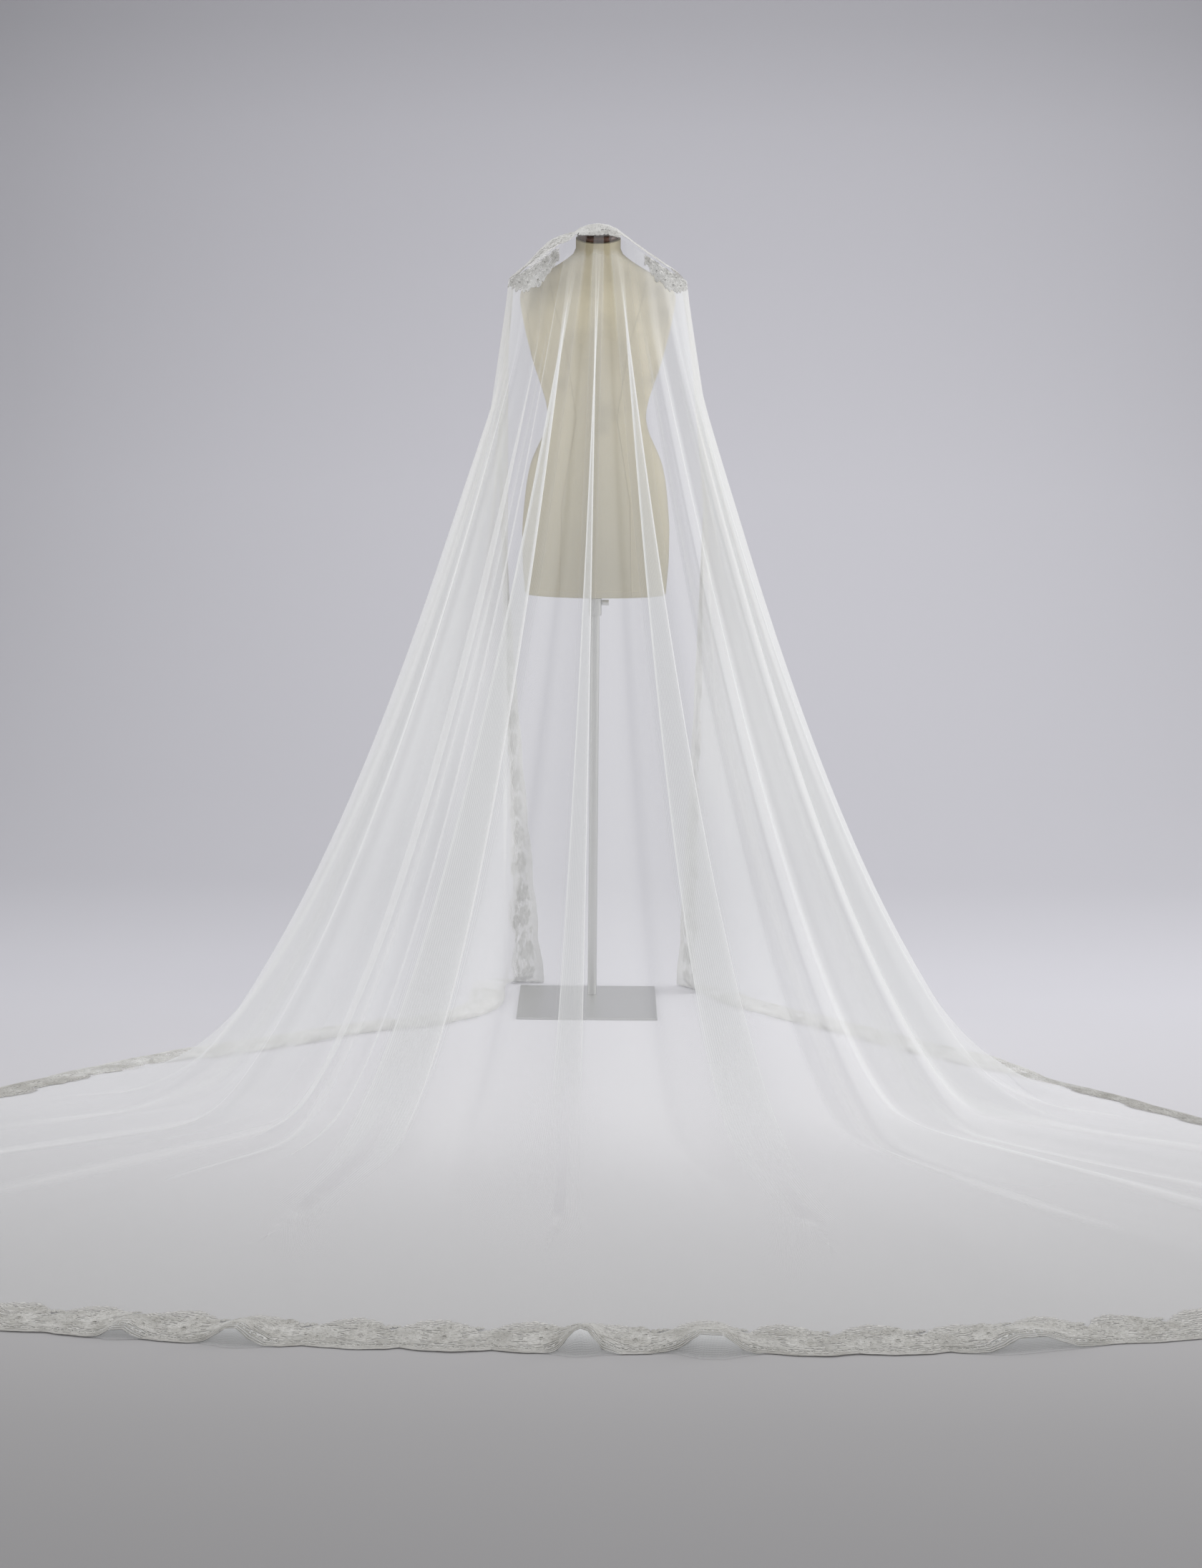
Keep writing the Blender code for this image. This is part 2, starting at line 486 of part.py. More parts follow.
def lace_edge(name, grid, normal, first, last, home, free_first):
    """The border down a free edge, from the shoulder to the floor, scalloped on its free side."""
    middle = grid[:, first:last + 1].copy()
    down = run_of(middle[:, 0])
    cut = np.maximum(scallops(down), 0)[:, None] * smoothstep(down / 0.2)[:, None]
    if free_first:
        middle[:, 0] = middle[:, 0] + unit(middle[:, 1] - middle[:, 0]) * cut
    else:
        middle[:, -1] = middle[:, -1] + unit(middle[:, -2] - middle[:, -1]) * cut
    out = normal[:, first:last + 1]
    return shell(name, trimmed(middle, out), out, LACE_WALL, "lace", home)


def crown_grid(lip):
    """The border over the cap and both shoulders, from its free back edge to the lip, and the lip's columns it meets."""
    lip_run = run_of(lip)
    lip_run = lip_run / lip_run[-1]
    columns = np.flatnonzero((lip_run > CROWN_ENDS) & (lip_run < 1 - CROWN_ENDS))
    where = lip_run[columns]
    back = np.array(CROWN_BACK)
    back_run = run_of(back)
    front = lip[columns]
    rear = at_run(back, back_run / back_run[-1], where)
    over = np.clip(1 - np.abs(front[:, 0] - BODY_X) / 0.062, 0, 1)[:, None] ** 0.5
    rows = []
    for share in CROWN_ROWS:
        flat = rear * (1 - share) + front * share
        flat[:, 2:] += over * 0.0115 * math.sin(math.pi * share) * (0.4 + share) + 0.003 * math.sin(math.pi * share)
        rows.append(flat)
    middle = np.stack(rows)
    ragged = 0.004 * np.abs(np.sin(where * 61))[:, None]
    middle[0] = middle[0] + unit(middle[1] - middle[0]) * ragged
    return middle, columns


def lace_crown(middle, normal, home):
    return shell("lace_crown", trimmed(middle, normal), normal, LACE_WALL, "lace", home)


def share_lip(normal, crown_normal, columns):
    """Gives the crown's front row and the tulle's first row one mitred normal, so that their edges lie face to face."""
    shared = unit(unit(normal[0, columns]) + unit(crown_normal[-1]))
    half_turn = np.clip((shared * unit(crown_normal[-1])).sum(-1), 0.75, 1)
    crown_normal[-1] = shared / half_turn[:, None]
    normal[0, columns] = crown_normal[-1]


def lace_shoulder(name, grid, normal, first, last, depths, home):
    """The wide motif that lies on the tulle below the lip: the tulle's points moved out, its lower edge uneven."""
    middle, out = [], []
    for column in range(first, last + 1):
        path = grid[:8, column]
        run = run_of(path)
        share = (column - first) / (last - first)
        deep = float(np.interp(share, np.linspace(0, 1, len(depths)), depths))
        where = 0.004 + np.linspace(0, 1, 5) * (deep - 0.004)
        middle.append(at_run(path, run, where))
        out.append(at_run(normal[:8, column], run, where))
    middle, out = np.stack(middle, 1), np.stack(out, 1)
    lifted = middle + unit(out) * (TULLE_WALL / 2 + LACE_WALL / 2 + 0.0012)
    return shell(name, trimmed(lifted, out), unit(out), LACE_WALL, "lace", home)


def body(home):
    """The body lofted through its rings, up to the slanted end of the neck."""
    angles = np.linspace(0, 2 * math.pi, BODY_SIDES, endpoint=False)
    points = []
    for ring in BODY:
        x = BODY_X + ring.half * np.cos(angles)
        depth = np.where(np.sin(angles) < 0, ring.front, ring.back)
        y = BODY_Y + depth * np.sin(angles)
        points.append(np.stack([x, y, np.full(BODY_SIDES, ring.z)], 1))
    for share in (0.5, 1.0):
        x = BODY_X + NECK_HALF * np.cos(angles)
        y = BODY_Y + NECK_HALF * np.sin(angles)
        top = NECK_TOP + (y - BODY_Y) * math.tan(NECK_TILT)
        z = BODY[-1].z + (top - BODY[-1].z) * share
        points.append(np.stack([x, y, z], 1))
    rings = len(points)
    faces = []
    for row in range(rings - 1):
        for side in range(BODY_SIDES):
            a = row * BODY_SIDES + side
            b = row * BODY_SIDES + (side + 1) % BODY_SIDES
            faces.append((a, b, b + BODY_SIDES, a + BODY_SIDES))
    faces.append(tuple(reversed(range(BODY_SIDES))))
    faces.append(tuple((rings - 1) * BODY_SIDES + side for side in range(BODY_SIDES)))
    made = add_object("form_body", np.concatenate(points), faces, "canvas", home)
    for polygon in made.data.polygons:
        polygon.use_smooth = len(polygon.vertices) == 4
    return made


def neck_cap(home):
    """A turned wooden disc, rounded at its upper rim and set square to the slanted neck."""
    made = cylinder("neck_cap", CAP_RADIUS, 0.0, CAP_HIGH, "wood", home, x=0, y=0, bevel=0)
    edge = made.modifiers.new("rim", "BEVEL")
    edge.width = CAP_ROUND
    edge.segments = 4
    edge.limit_method = "ANGLE"
    made.rotation_euler = (NECK_TILT, 0, 0)
    away = SEAM + CAP_HIGH / 2
    made.location = (BODY_X, BODY_Y - math.sin(NECK_TILT) * away, NECK_TOP + math.cos(NECK_TILT) * away)
    for polygon in made.data.polygons:
        polygon.use_smooth = True
    return made


def stand(home):
    bpy.ops.mesh.primitive_cube_add(size=1, location=(0, 0, PLATE_HIGH / 2))
    plate = bpy.context.object
    plate.name = "base_plate"
    plate.scale = (PLATE_SIDE, PLATE_SIDE, PLATE_HIGH)
    bpy.ops.object.transform_apply(location=False, rotation=False, scale=True)
    plate.data.materials.append(material("base_plate", "steel"))
    edge = plate.modifiers.new("edge", "BEVEL")
    edge.width = 0.0008
    edge.segments = 2
    for old in list(plate.users_collection):
        old.objects.unlink(plate)
    home.objects.link(plate)
    cylinder("pole", POLE_RADIUS, PLATE_HIGH + SEAM, COLLAR_LOW - SEAM, "steel", home, bevel=0.0006)
    cylinder("height_collar", COLLAR_RADIUS, COLLAR_LOW, COLLAR_TOP, "steel", home)
    cylinder("inner_rod", INNER_ROD_RADIUS, COLLAR_TOP + SEAM, BODY_LOW - SEAM, "steel", home, bevel=0.0005)
    screw = cylinder("thumb_screw", SCREW_RADIUS, 0, SCREW_LONG, "steel", home, x=0, y=0, sides=20)
    screw.rotation_euler = (0, math.pi / 2, 0)
    screw.location = (POLE_X + COLLAR_RADIUS + SEAM + SCREW_LONG / 2, POLE_Y, 0.928)


def veil(home):
    grid, distance, places, plain = veil_grid()
    along = hem_run(grid, places)
    grid = with_swells(grid, distance, along)
    normal = bend_normals(grid)
    crown, columns = crown_grid(grid[0])
    crown_normal = bend_normals(crown)
    share_lip(normal, crown_normal, columns)
    thin, thin_normal = grid[plain], normal[plain]
    far_left, wing_left = places["far_1"], places["wing_left_b"]
    band_left, band_right = places["left_7"], places["right_7"]
    wing_right, far_right = places["wing_right_b"], places["far_7"]
    end = grid.shape[1] - 1
    corners = (far_left, far_right)
    whole, falling, lying = slice(0, ROWS), slice(0, LAP + 1), slice(LAP, ROWS)
    tulle("tulle_far_left", thin[whole], thin_normal[whole], far_left, wing_left, home)
    tulle("tulle_fall_left", thin[falling], thin_normal[falling], wing_left, band_left, home)
    tulle("tulle_fall_front", thin[falling], thin_normal[falling], band_left, band_right, home)
    tulle("tulle_fall_right", thin[falling], thin_normal[falling], band_right, wing_right, home)
    tulle("tulle_far_right", thin[whole], thin_normal[whole], wing_right, far_right, home)
    tulle("train_left", thin[lying], thin_normal[lying], wing_left, band_left, home)
    tulle("train_front", grid[LAP:-3], normal[LAP:-3], band_left, band_right, home)
    tulle("train_right", thin[lying], thin_normal[lying], band_right, wing_right, home)
    lace_edge("lace_edge_left", thin, thin_normal, 0, far_left, home, True)
    lace_edge("lace_edge_right", thin, thin_normal, far_right, end, home, False)
    lace_hem("lace_far_left", thin, thin_normal, along, far_left, wing_left, corners, home)
    lace_hem("lace_train_left", thin, thin_normal, along, wing_left, band_left, corners, home)
    lace_hem("lace_train_front", thin, thin_normal, along, band_left, band_right, corners, home)
    lace_hem("lace_train_right", thin, thin_normal, along, band_right, wing_right, corners, home)
    lace_hem("lace_far_right", thin, thin_normal, along, wing_right, far_right, corners, home)
    lace_crown(crown, crown_normal, home)
    lace_shoulder("lace_shoulder_left", thin, thin_normal, places["wing_left_a"], places["left_7"],
                  (0.018, 0.030, 0.048, 0.055, 0.050, 0.062, 0.052, 0.040, 0.024), home)
    lace_shoulder("lace_shoulder_right", thin, thin_normal, places["right_6"], places["wing_right_a"],
                  (0.014, 0.024, 0.034, 0.046, 0.040, 0.048, 0.036, 0.020), home)


for old in list(bpy.data.objects):
    bpy.data.objects.remove(old)
bridal_veil = bpy.data.collections.new("bridal_veil")
bpy.context.scene.collection.children.link(bridal_veil)
stand(bridal_veil)
body(bridal_veil)
neck_cap(bridal_veil)
veil(bridal_veil)
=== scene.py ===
import math
from collections import namedtuple

import bpy
import numpy as np
from mathutils import Matrix, Vector


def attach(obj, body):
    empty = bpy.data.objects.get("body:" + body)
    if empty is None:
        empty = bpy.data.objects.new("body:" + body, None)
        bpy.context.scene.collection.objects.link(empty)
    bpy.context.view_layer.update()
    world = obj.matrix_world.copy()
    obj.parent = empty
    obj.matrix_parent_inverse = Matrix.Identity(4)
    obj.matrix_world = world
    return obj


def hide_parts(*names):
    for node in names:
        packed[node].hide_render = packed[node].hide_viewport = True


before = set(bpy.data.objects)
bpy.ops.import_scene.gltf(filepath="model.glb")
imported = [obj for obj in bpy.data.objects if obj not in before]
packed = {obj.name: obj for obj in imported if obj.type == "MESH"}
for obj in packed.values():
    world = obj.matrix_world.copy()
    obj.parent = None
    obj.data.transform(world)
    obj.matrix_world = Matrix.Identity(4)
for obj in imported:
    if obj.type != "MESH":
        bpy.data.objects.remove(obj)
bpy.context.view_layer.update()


# Studio floor and backdrop: one seamless sheet of pale paper that runs flat under the train
# and turns up behind the form in a wide curve, with no line where floor and wall meet.
# It is not part of the veil. The camera looks a little down on it and stands 6 m away.
PAPER_FRONT = -6.4
PAPER_BEND = 1.5
PAPER_CURVE = 1.9
PAPER_TOP = 6.0
PAPER_HALF = 7.5
# Two tints, for the floor and for the wall, and a painted pool of light: how light the paper is painted on the way
# from one to the other, brightest round the form, darker in front of it and high on the wall, and pale again at its
# far front edge.
FLOOR_TINT = np.array((1.02, 1.0, 1.0))
WALL_TINT = np.array((0.995, 0.985, 1.04))
WALL_FROM, WALL_OVER = -2.2, 2.4
PAPER_PAINTED_LIGHT = ((-6.0, 0.70), (-4.4, 0.62), (-3.6, 0.40), (-3.2, 0.39), (-2.96, 0.405), (-2.5, 0.465),
               (-2.2, 0.53), (-1.7, 0.61), (-0.9, 0.77), (0.0, 0.80), (0.8, 0.73), (1.4, 0.695),
               (2.4, 0.68), (4.2, 0.69), (5.1, 0.65), (5.6, 0.62), (6.1, 0.50))
# Painted light: the paper is painted lightest a little to the right of the middle, where the light falls most, and
# painted darker to both sides.
LIT_SIDE = 0.2
LIT_HALF = 2.1
SIDE_FALL = 0.23
MOST_FALL = 1.2


def make_mesh(name, points, faces):
    mesh = bpy.data.meshes.new(name)
    mesh.from_pydata(np.asarray(points, float).tolist(), [], faces)
    mesh.polygons.foreach_set("use_smooth", [True] * len(mesh.polygons))
    made = bpy.data.objects.new(name, mesh)
    bpy.context.scene.collection.objects.link(made)
    return made


def grid_faces(rows, columns, start=0):
    row, column = np.meshgrid(np.arange(rows - 1), np.arange(columns - 1), indexing="ij")
    corner = (start + row * columns + column).ravel()
    return np.stack([corner, corner + columns, corner + columns + 1, corner + 1], 1).tolist()


def new_finish(name, colour, rough, metal=0.0):
    made = bpy.data.materials.new(name)
    made.use_nodes = True
    nodes = made.node_tree.nodes
    shader = nodes["Principled BSDF"]
    shader.inputs["Base Color"].default_value = (*colour, 1)
    shader.inputs["Roughness"].default_value = rough
    shader.inputs["Metallic"].default_value = metal
    return made, nodes, shader


def add_node(nodes, kind, values=None, **settings):
    """One more node of a finish, with its settings and the values of its own sockets."""
    made = nodes.new(kind)
    for name, value in settings.items():
        setattr(made, name, value)
    for socket, value in (values or {}).items():
        made.inputs[socket].default_value = value
    return made


def join(giver, output, taker, socket):
    giver.id_data.links.new(giver.outputs[output], taker.inputs[socket])


paper_line = [(y, 0.0) for y in np.linspace(PAPER_FRONT, PAPER_BEND, 50)]
for turn in np.linspace(0, math.pi / 2, 24)[1:]:
    paper_line.append((PAPER_BEND + PAPER_CURVE * math.sin(turn), PAPER_CURVE * (1 - math.cos(turn))))
paper_line += [(PAPER_BEND + PAPER_CURVE, z) for z in np.linspace(PAPER_CURVE, PAPER_TOP, 24)[1:]]
paper_across = np.linspace(PAPER_HALF, -PAPER_HALF, 61)
paper_points = np.array([(x, y, z) for y, z in paper_line for x in paper_across])
paper = make_mesh("studio_paper", paper_points, grid_faces(len(paper_line), len(paper_across)))
sweep = paper_points[:, 1] + paper_points[:, 2]
paper_painted_light = np.interp(sweep, *np.array(PAPER_PAINTED_LIGHT).T)
paper_painted_light *= 1 - SIDE_FALL * np.minimum(((paper_points[:, 0] - LIT_SIDE) / LIT_HALF) ** 2, MOST_FALL)
wall_share = np.clip((sweep - WALL_FROM) / WALL_OVER, 0, 1)[:, None]
paper_colour = paper_painted_light[:, None] * (FLOOR_TINT * (1 - wall_share) + WALL_TINT * wall_share)
dyed = paper.data.color_attributes.new("dyed", "FLOAT_COLOR", "POINT")
dyed.data.foreach_set("color", np.hstack([paper_colour, np.ones((len(paper_points), 1))]).ravel())
paper_finish, nodes, shader = new_finish("studio_paper", WALL_TINT, 0.95)
join(add_node(nodes, "ShaderNodeVertexColor", layer_name="dyed"), "Color", shader, "Base Color")
# The backdrop is one-sided, so that the form is seen from behind as well.
one_sided = add_node(nodes, "ShaderNodeMixShader")
join(add_node(nodes, "ShaderNodeNewGeometry"), "Backfacing", one_sided, "Fac")
join(shader, "BSDF", one_sided, 1)
join(add_node(nodes, "ShaderNodeBsdfTransparent"), "BSDF", one_sided, 2)
join(one_sided, "Shader", nodes["Material Output"], "Surface")
paper.data.materials.append(paper_finish)


# Soft light: a wide panel high over the form, one at each side of it, and even light from all round.
# The camera doesn't see the panels. The right one is the stronger of the two at the sides.
PANEL_WIDE = 2.4


def hang_panel(name, place, aim, power):
    light = bpy.data.lights.new(name, "AREA")
    light.shape = "SQUARE"
    light.size = PANEL_WIDE
    light.energy = power
    made = bpy.data.objects.new(name, light)
    made.location = place
    made.visible_camera = False
    made.rotation_euler = (Vector(aim) - Vector(place)).to_track_quat("-Z", "Y").to_euler()
    bpy.context.scene.collection.objects.link(made)


hang_panel("overhead_panel", (0.3, 0.1, 3.7), (0.1, -0.1, 0), 16)
hang_panel("left_panel", (-4.2, 0.5, 1.9), (0, 0, 0.9), 44)
hang_panel("right_panel", (4.2, 0.5, 1.9), (0, 0, 0.9), 70)
world = bpy.data.worlds.new("even_light")
world.use_nodes = True
world.node_tree.nodes["Background"].inputs["Color"].default_value = (0.97, 0.975, 1.0, 1)
world.node_tree.nodes["Background"].inputs["Strength"].default_value = 0.61
bpy.context.scene.world = world
bpy.context.scene.view_settings.view_transform = "Standard"
# Up to this many layers of net lie behind one another.
bpy.context.scene.cycles.transparent_max_bounces = 40


# Camera at the photograph's place: 1.49 m above the floor, 6.17 m in front of the stand.
EYE = (0.02784, -6.1708, 1.49143)
LOOK_DOWN = 0.156608
LEAN = math.radians(0.5)
LENS_PIXELS = 3800
FRAME_TALL = 2191
SENSOR = 36
camera = bpy.data.objects.new("camera", bpy.data.cameras.new("camera"))
camera.data.sensor_width = SENSOR
camera.data.lens = LENS_PIXELS / FRAME_TALL * SENSOR
tilt = Matrix.Rotation(math.pi / 2 - LOOK_DOWN, 4, "X") @ Matrix.Rotation(LEAN, 4, "Z")
camera.matrix_world = Matrix.Translation(EYE) @ tilt
bpy.context.scene.collection.objects.link(camera)
bpy.context.scene.camera = camera


# Stand: a square plate, a pole, the collar that sets its height, its inner rod and a thumb screw.
# All are steel, brushed to a satin finish: along the plate, and round the turned pieces.
STEEL_TONE = (0.56, 0.56, 0.55)


def add_bump(nodes, shader, giver, output, strength, distance):
    bump = add_node(nodes, "ShaderNodeBump", {"Strength": strength, "Distance": distance})
    join(giver, output, bump, "Height")
    join(bump, "Normal", shader, "Normal")


def satin_steel(name, grain):
    """Steel with fine scratches. grain: how close they lie along x, y and z."""
    made, nodes, shader = new_finish(name, STEEL_TONE, 0.36, 1.0)
    stretch = add_node(nodes, "ShaderNodeMapping", {"Scale": grain})
    scratches = add_node(nodes, "ShaderNodeTexNoise", {"Scale": 1.0, "Detail": 6})
    rough = add_node(nodes, "ShaderNodeMapRange", {"To Min": 0.28, "To Max": 0.50})
    join(add_node(nodes, "ShaderNodeTexCoord"), "Object", stretch, "Vector")
    join(stretch, "Vector", scratches, "Vector")
    join(scratches, "Fac", rough, "Value")
    join(rough, "Result", shader, "Roughness")
    add_bump(nodes, shader, scratches, "Fac", 0.12, 0.0004)
    return made


plate_steel = satin_steel("plate_steel", (6, 420, 420))
turned_steel = satin_steel("turned_steel", (60, 60, 900))
for name, finish in (("base_plate", plate_steel), ("pole", turned_steel), ("height_collar", turned_steel),
                     ("inner_rod", turned_steel), ("thumb_screw", turned_steel)):
    packed[name].data.materials.clear()
    packed[name].data.materials.append(finish)


# Padded body: layers of wadding on a moulded core, under a fitted cover of cream canvas.
# The cover is cut in panels, so welted seams run down the front, the sides and round each armhole.
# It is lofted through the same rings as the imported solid, with the bust filled out.
BODY_X, BODY_Y = 0.011, 0.075
NECK_HALF = 0.0505
NECK_TILT = math.radians(16.5)
NECK_TOP = 1.7505
NECK_SPREAD = 0.35
BUST_OUT = 0.013
BUST_APART, BUST_HALF = 0.072, 0.043
# Height, half height and share of BUST_OUT: the bust comes forward, and the cover lies in below it.
BUST_SWELLS = ((1.512, 0.045, -1.0), (1.432, 0.030, 0.4))
HEM_UNDER = 0.988
HEM_TURN = 0.0035
Ring = namedtuple("Ring", "z half front back")
BODY = [Ring(*ring) for ring in (
    (0.947, 0.161, 0.112, 0.108), (1.020, 0.167, 0.118, 0.116), (1.100, 0.168, 0.118, 0.122),
    (1.160, 0.163, 0.112, 0.121), (1.205, 0.158, 0.107, 0.114), (1.248, 0.149, 0.100, 0.104),
    (1.283, 0.134, 0.094, 0.094), (1.315, 0.118, 0.088, 0.087), (1.350, 0.110, 0.086, 0.083),
    (1.385, 0.115, 0.094, 0.084), (1.425, 0.128, 0.110, 0.089), (1.465, 0.142, 0.128, 0.097),
    (1.505, 0.154, 0.139, 0.105), (1.545, 0.164, 0.139, 0.111), (1.580, 0.171, 0.126, 0.110),
    (1.608, 0.176, 0.108, 0.102), (1.628, 0.177, 0.090, 0.088), (1.642, 0.168, 0.077, 0.076),
    (1.657, 0.148, 0.068, 0.068), (1.673, 0.122, 0.062, 0.063), (1.689, 0.094, 0.057, 0.059),
    (1.703, 0.070, 0.053, 0.055), (1.716, 0.056, 0.0505, 0.0525),
)]
BODY_SIDES = 144
BODY_ROWS = 150
ring_heights = np.array([ring.z for ring in BODY])
body_heights = np.linspace(ring_heights[0], ring_heights[-1], BODY_ROWS)


def eased(values, passes):
    """Softens values along their first axis and leaves both ends in place."""
    for _ in range(passes):
        values[1:-1] = 0.25 * values[:-2] + 0.5 * values[1:-1] + 0.25 * values[2:]
    return values


body_half, body_front, body_back = (
    eased(np.interp(body_heights, ring_heights, [getattr(ring, measure) for ring in BODY]), 6)
    for measure in ("half", "front", "back"))


def on_body(angle, height):
    """Points of the cover at these angles and heights: 0 is the wearer's left side, a quarter turn back the front."""
    half, front, back = (np.interp(height, body_heights, reach) for reach in (body_half, body_front, body_back))
    x = half * np.cos(angle)
    y = np.where(np.sin(angle) < 0, front, back) * np.sin(angle)
    facing = np.clip(-np.sin(angle), 0, 1) ** 0.5
    for side in (-1, 1):
        apart = (x - side * BUST_APART) / BUST_HALF
        for high, tall, share in BUST_SWELLS:
            y = y + share * BUST_OUT * facing * np.exp(-apart**2 - ((height - high) / tall) ** 2)
    return np.stack([BODY_X + x, BODY_Y + y, height + 0 * x], -1)


side_angles = np.linspace(0, 2 * math.pi, BODY_SIDES + 1)[:-1]
cover_points = [on_body(side_angles, np.full(BODY_SIDES, height)) for height in body_heights]
neck_x, neck_y = BODY_X + NECK_HALF * np.cos(side_angles), BODY_Y + NECK_HALF * np.sin(side_angles)
neck_end = NECK_TOP + (neck_y - BODY_Y) * math.tan(NECK_TILT)
neck_foot = cover_points[-1][:, :2]
for share in (NECK_SPREAD, 2 * NECK_SPREAD, 0.97, 1.0):
    blend = min(share / NECK_SPREAD, 1.0)
    flat = (1 - blend) * neck_foot + blend * np.stack([neck_x, neck_y], 1)
    rise = body_heights[-1] + (neck_end - body_heights[-1]) * share
    cover_points.append(np.column_stack([flat, rise]))
# The canvas is turned under at the bottom edge.
low_edge = cover_points[0]
turned_under = (low_edge - (BODY_X, BODY_Y, 0)) * (HEM_UNDER, HEM_UNDER, 1) + (BODY_X, BODY_Y, 0)
cover_points = [turned_under, low_edge + (0, 0, HEM_TURN)] + cover_points[1:]
cover_faces = []
for row in range(len(cover_points) - 1):
    for side in range(BODY_SIDES):
        a, b = row * BODY_SIDES + side, row * BODY_SIDES + (side + 1) % BODY_SIDES
        cover_faces.append((a, b, b + BODY_SIDES, a + BODY_SIDES))
cover_faces.append(tuple(reversed(range(BODY_SIDES))))
cover_faces.append(tuple((len(cover_points) - 1) * BODY_SIDES + side for side in range(BODY_SIDES)))
cover = make_mesh("body_cover", np.concatenate(cover_points), cover_faces)
for end in (1, 2):
    cover.data.polygons[len(cover_faces) - end].use_smooth = False

CANVAS_TONE = (0.69, 0.62, 0.435)
CANVAS_STAIN_AND_SHADE = (0.45, 0.405, 0.28)
canvas, nodes, shader = new_finish("cream_canvas", CANVAS_TONE, 0.9)
where = add_node(nodes, "ShaderNodeTexCoord")
stain = add_node(nodes, "ShaderNodeTexNoise", {"Scale": 9, "Detail": 5})
age = add_node(nodes, "ShaderNodeMapRange", {"From Min": 0.45, "From Max": 0.75})
join(where, "Object", stain, "Vector")
join(stain, "Fac", age, "Value")
# Painted shade: below the bust the canvas is painted darker towards the bottom, darkest at the lower edge, as if less
# light reached it there. The noise adds real stains in the same darker colour.
split = add_node(nodes, "ShaderNodeSeparateXYZ")
painted_shade_low = add_node(nodes, "ShaderNodeMapRange", {"From Min": 1.45, "From Max": 1.00, "To Min": 0.05, "To Max": 0.95})
join(where, "Object", split, 0)
join(split, "Z", painted_shade_low, "Value")
stains_and_painted_shade = add_node(nodes, "ShaderNodeMath", operation="MAXIMUM")
join(age, "Result", stains_and_painted_shade, 0)
join(painted_shade_low, "Result", stains_and_painted_shade, 1)
tone = add_node(nodes, "ShaderNodeMix", {"A": (*CANVAS_TONE, 1), "B": (*CANVAS_STAIN_AND_SHADE, 1)}, data_type="RGBA")
join(stains_and_painted_shade, "Value", tone, "Factor")
join(tone, "Result", shader, "Base Color")
# Plain weave: warp threads cross weft threads.
weave = add_node(nodes, "ShaderNodeMath", operation="MULTIPLY")
for socket, way in enumerate("XZ"):
    wave = add_node(nodes, "ShaderNodeTexWave", {"Scale": 320, "Distortion": 0.6}, bands_direction=way)
    join(where, "Object", wave, "Vector")
    join(wave, "Fac", weave, socket)
add_bump(nodes, shader, weave, "Value", 0.35, 0.0005)
cover.data.materials.append(canvas)
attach(cover, "root")
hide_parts("form_body")


# Welted seams of the cover: each is a folded edge of the canvas stitched over the next panel.
# They run down the middle and over the bust at the front, down the sides, down the back, round the
# armholes and round the bottom edge.
WELT_WIDE = 0.0030
WELT_HIGH = 0.0007
WELT_PROFILE = ((-0.5, -0.3), (-0.32, 0.62), (0.0, 1.0), (0.32, 0.62), (0.5, -0.3))
SEAM_FROM, SEAM_TO = 0.951, 1.700
SIDE_SEAM_TO = 1.490
PRINCESS_TO = 1.655
PRINCESS_HEIGHTS = (0.95, 1.16, 1.35, 1.512, 1.60, 1.70)
PRINCESS_OUT = (0.083, 0.078, 0.047, 0.071, 0.098, 0.118)
ARMHOLE_MIDDLE, ARMHOLE_TALL, ARMHOLE_WIDE = 1.560, 0.070, 0.050
BOTTOM_SEAM = 0.962
welt_points, welt_faces = [], []


def ways_along(line, closed):
    """The direction of the line at each of its points."""
    ahead = np.roll(line, -1, 0) if closed else np.concatenate([line[1:], line[-1:]])
    behind = np.roll(line, 1, 0) if closed else np.concatenate([line[:1], line[:-1]])
    return (ahead - behind) / (np.linalg.norm(ahead - behind, axis=1, keepdims=True) + 1e-12)


def tube_faces(edges, count, closed, start=0):
    """Faces of a tube with this many edges along count points: a ring, or with a cap on each end."""
    faces = []
    for step in range(count if closed else count - 1):
        after = (step + 1) % count
        for edge in range(edges):
            a, b = start + edge * count, start + (edge + 1) % edges * count
            faces.append((a + step, a + after, b + after, b + step))
    if not closed:
        faces.append(tuple(start + edge * count for edge in range(edges)))
        faces.append(tuple(start + edge * count + count - 1 for edge in reversed(range(edges))))
    return faces


def lay_welt(line, closed=False):
    """A low half-round ridge along a line of points on the cover."""
    along = ways_along(line, closed)
    out = (line - (BODY_X, BODY_Y, 0)) * (1, 1, 0)
    out -= along * (out * along).sum(1, keepdims=True)
    out /= np.linalg.norm(out, axis=1, keepdims=True)
    side = np.cross(along, out)
    start = sum(len(part) for part in welt_points)
    welt_faces.extend(tube_faces(len(WELT_PROFILE), len(line), closed, start))
    welt_points.append(np.concatenate([line + side * WELT_WIDE * a + out * WELT_HIGH * b for a, b in WELT_PROFILE]))


climb = np.linspace(SEAM_FROM, SEAM_TO, 130)
side_climb = np.linspace(SEAM_FROM, SIDE_SEAM_TO, 110)
for middle in (-math.pi / 2, math.pi / 2):
    lay_welt(on_body(np.full(len(climb), middle), climb))
for side in (0.0, math.pi):
    lay_welt(on_body(np.full(len(side_climb), side), side_climb))
princess_out = np.interp(climb, PRINCESS_HEIGHTS, PRINCESS_OUT)
princess_turn = np.arccos(np.clip(princess_out / np.interp(climb, body_heights, body_half), -1, 1))
round_hole = np.linspace(0, 2 * math.pi, 60)[:-1]
hole_height = ARMHOLE_MIDDLE + ARMHOLE_TALL * np.cos(round_hole)
hole_reach = np.where(np.sin(round_hole) < 0, np.interp(hole_height, body_heights, body_front),
                      np.interp(hole_height, body_heights, body_back))
hole_turn = np.arcsin(np.clip(ARMHOLE_WIDE * np.sin(round_hole) / hole_reach, -1, 1))
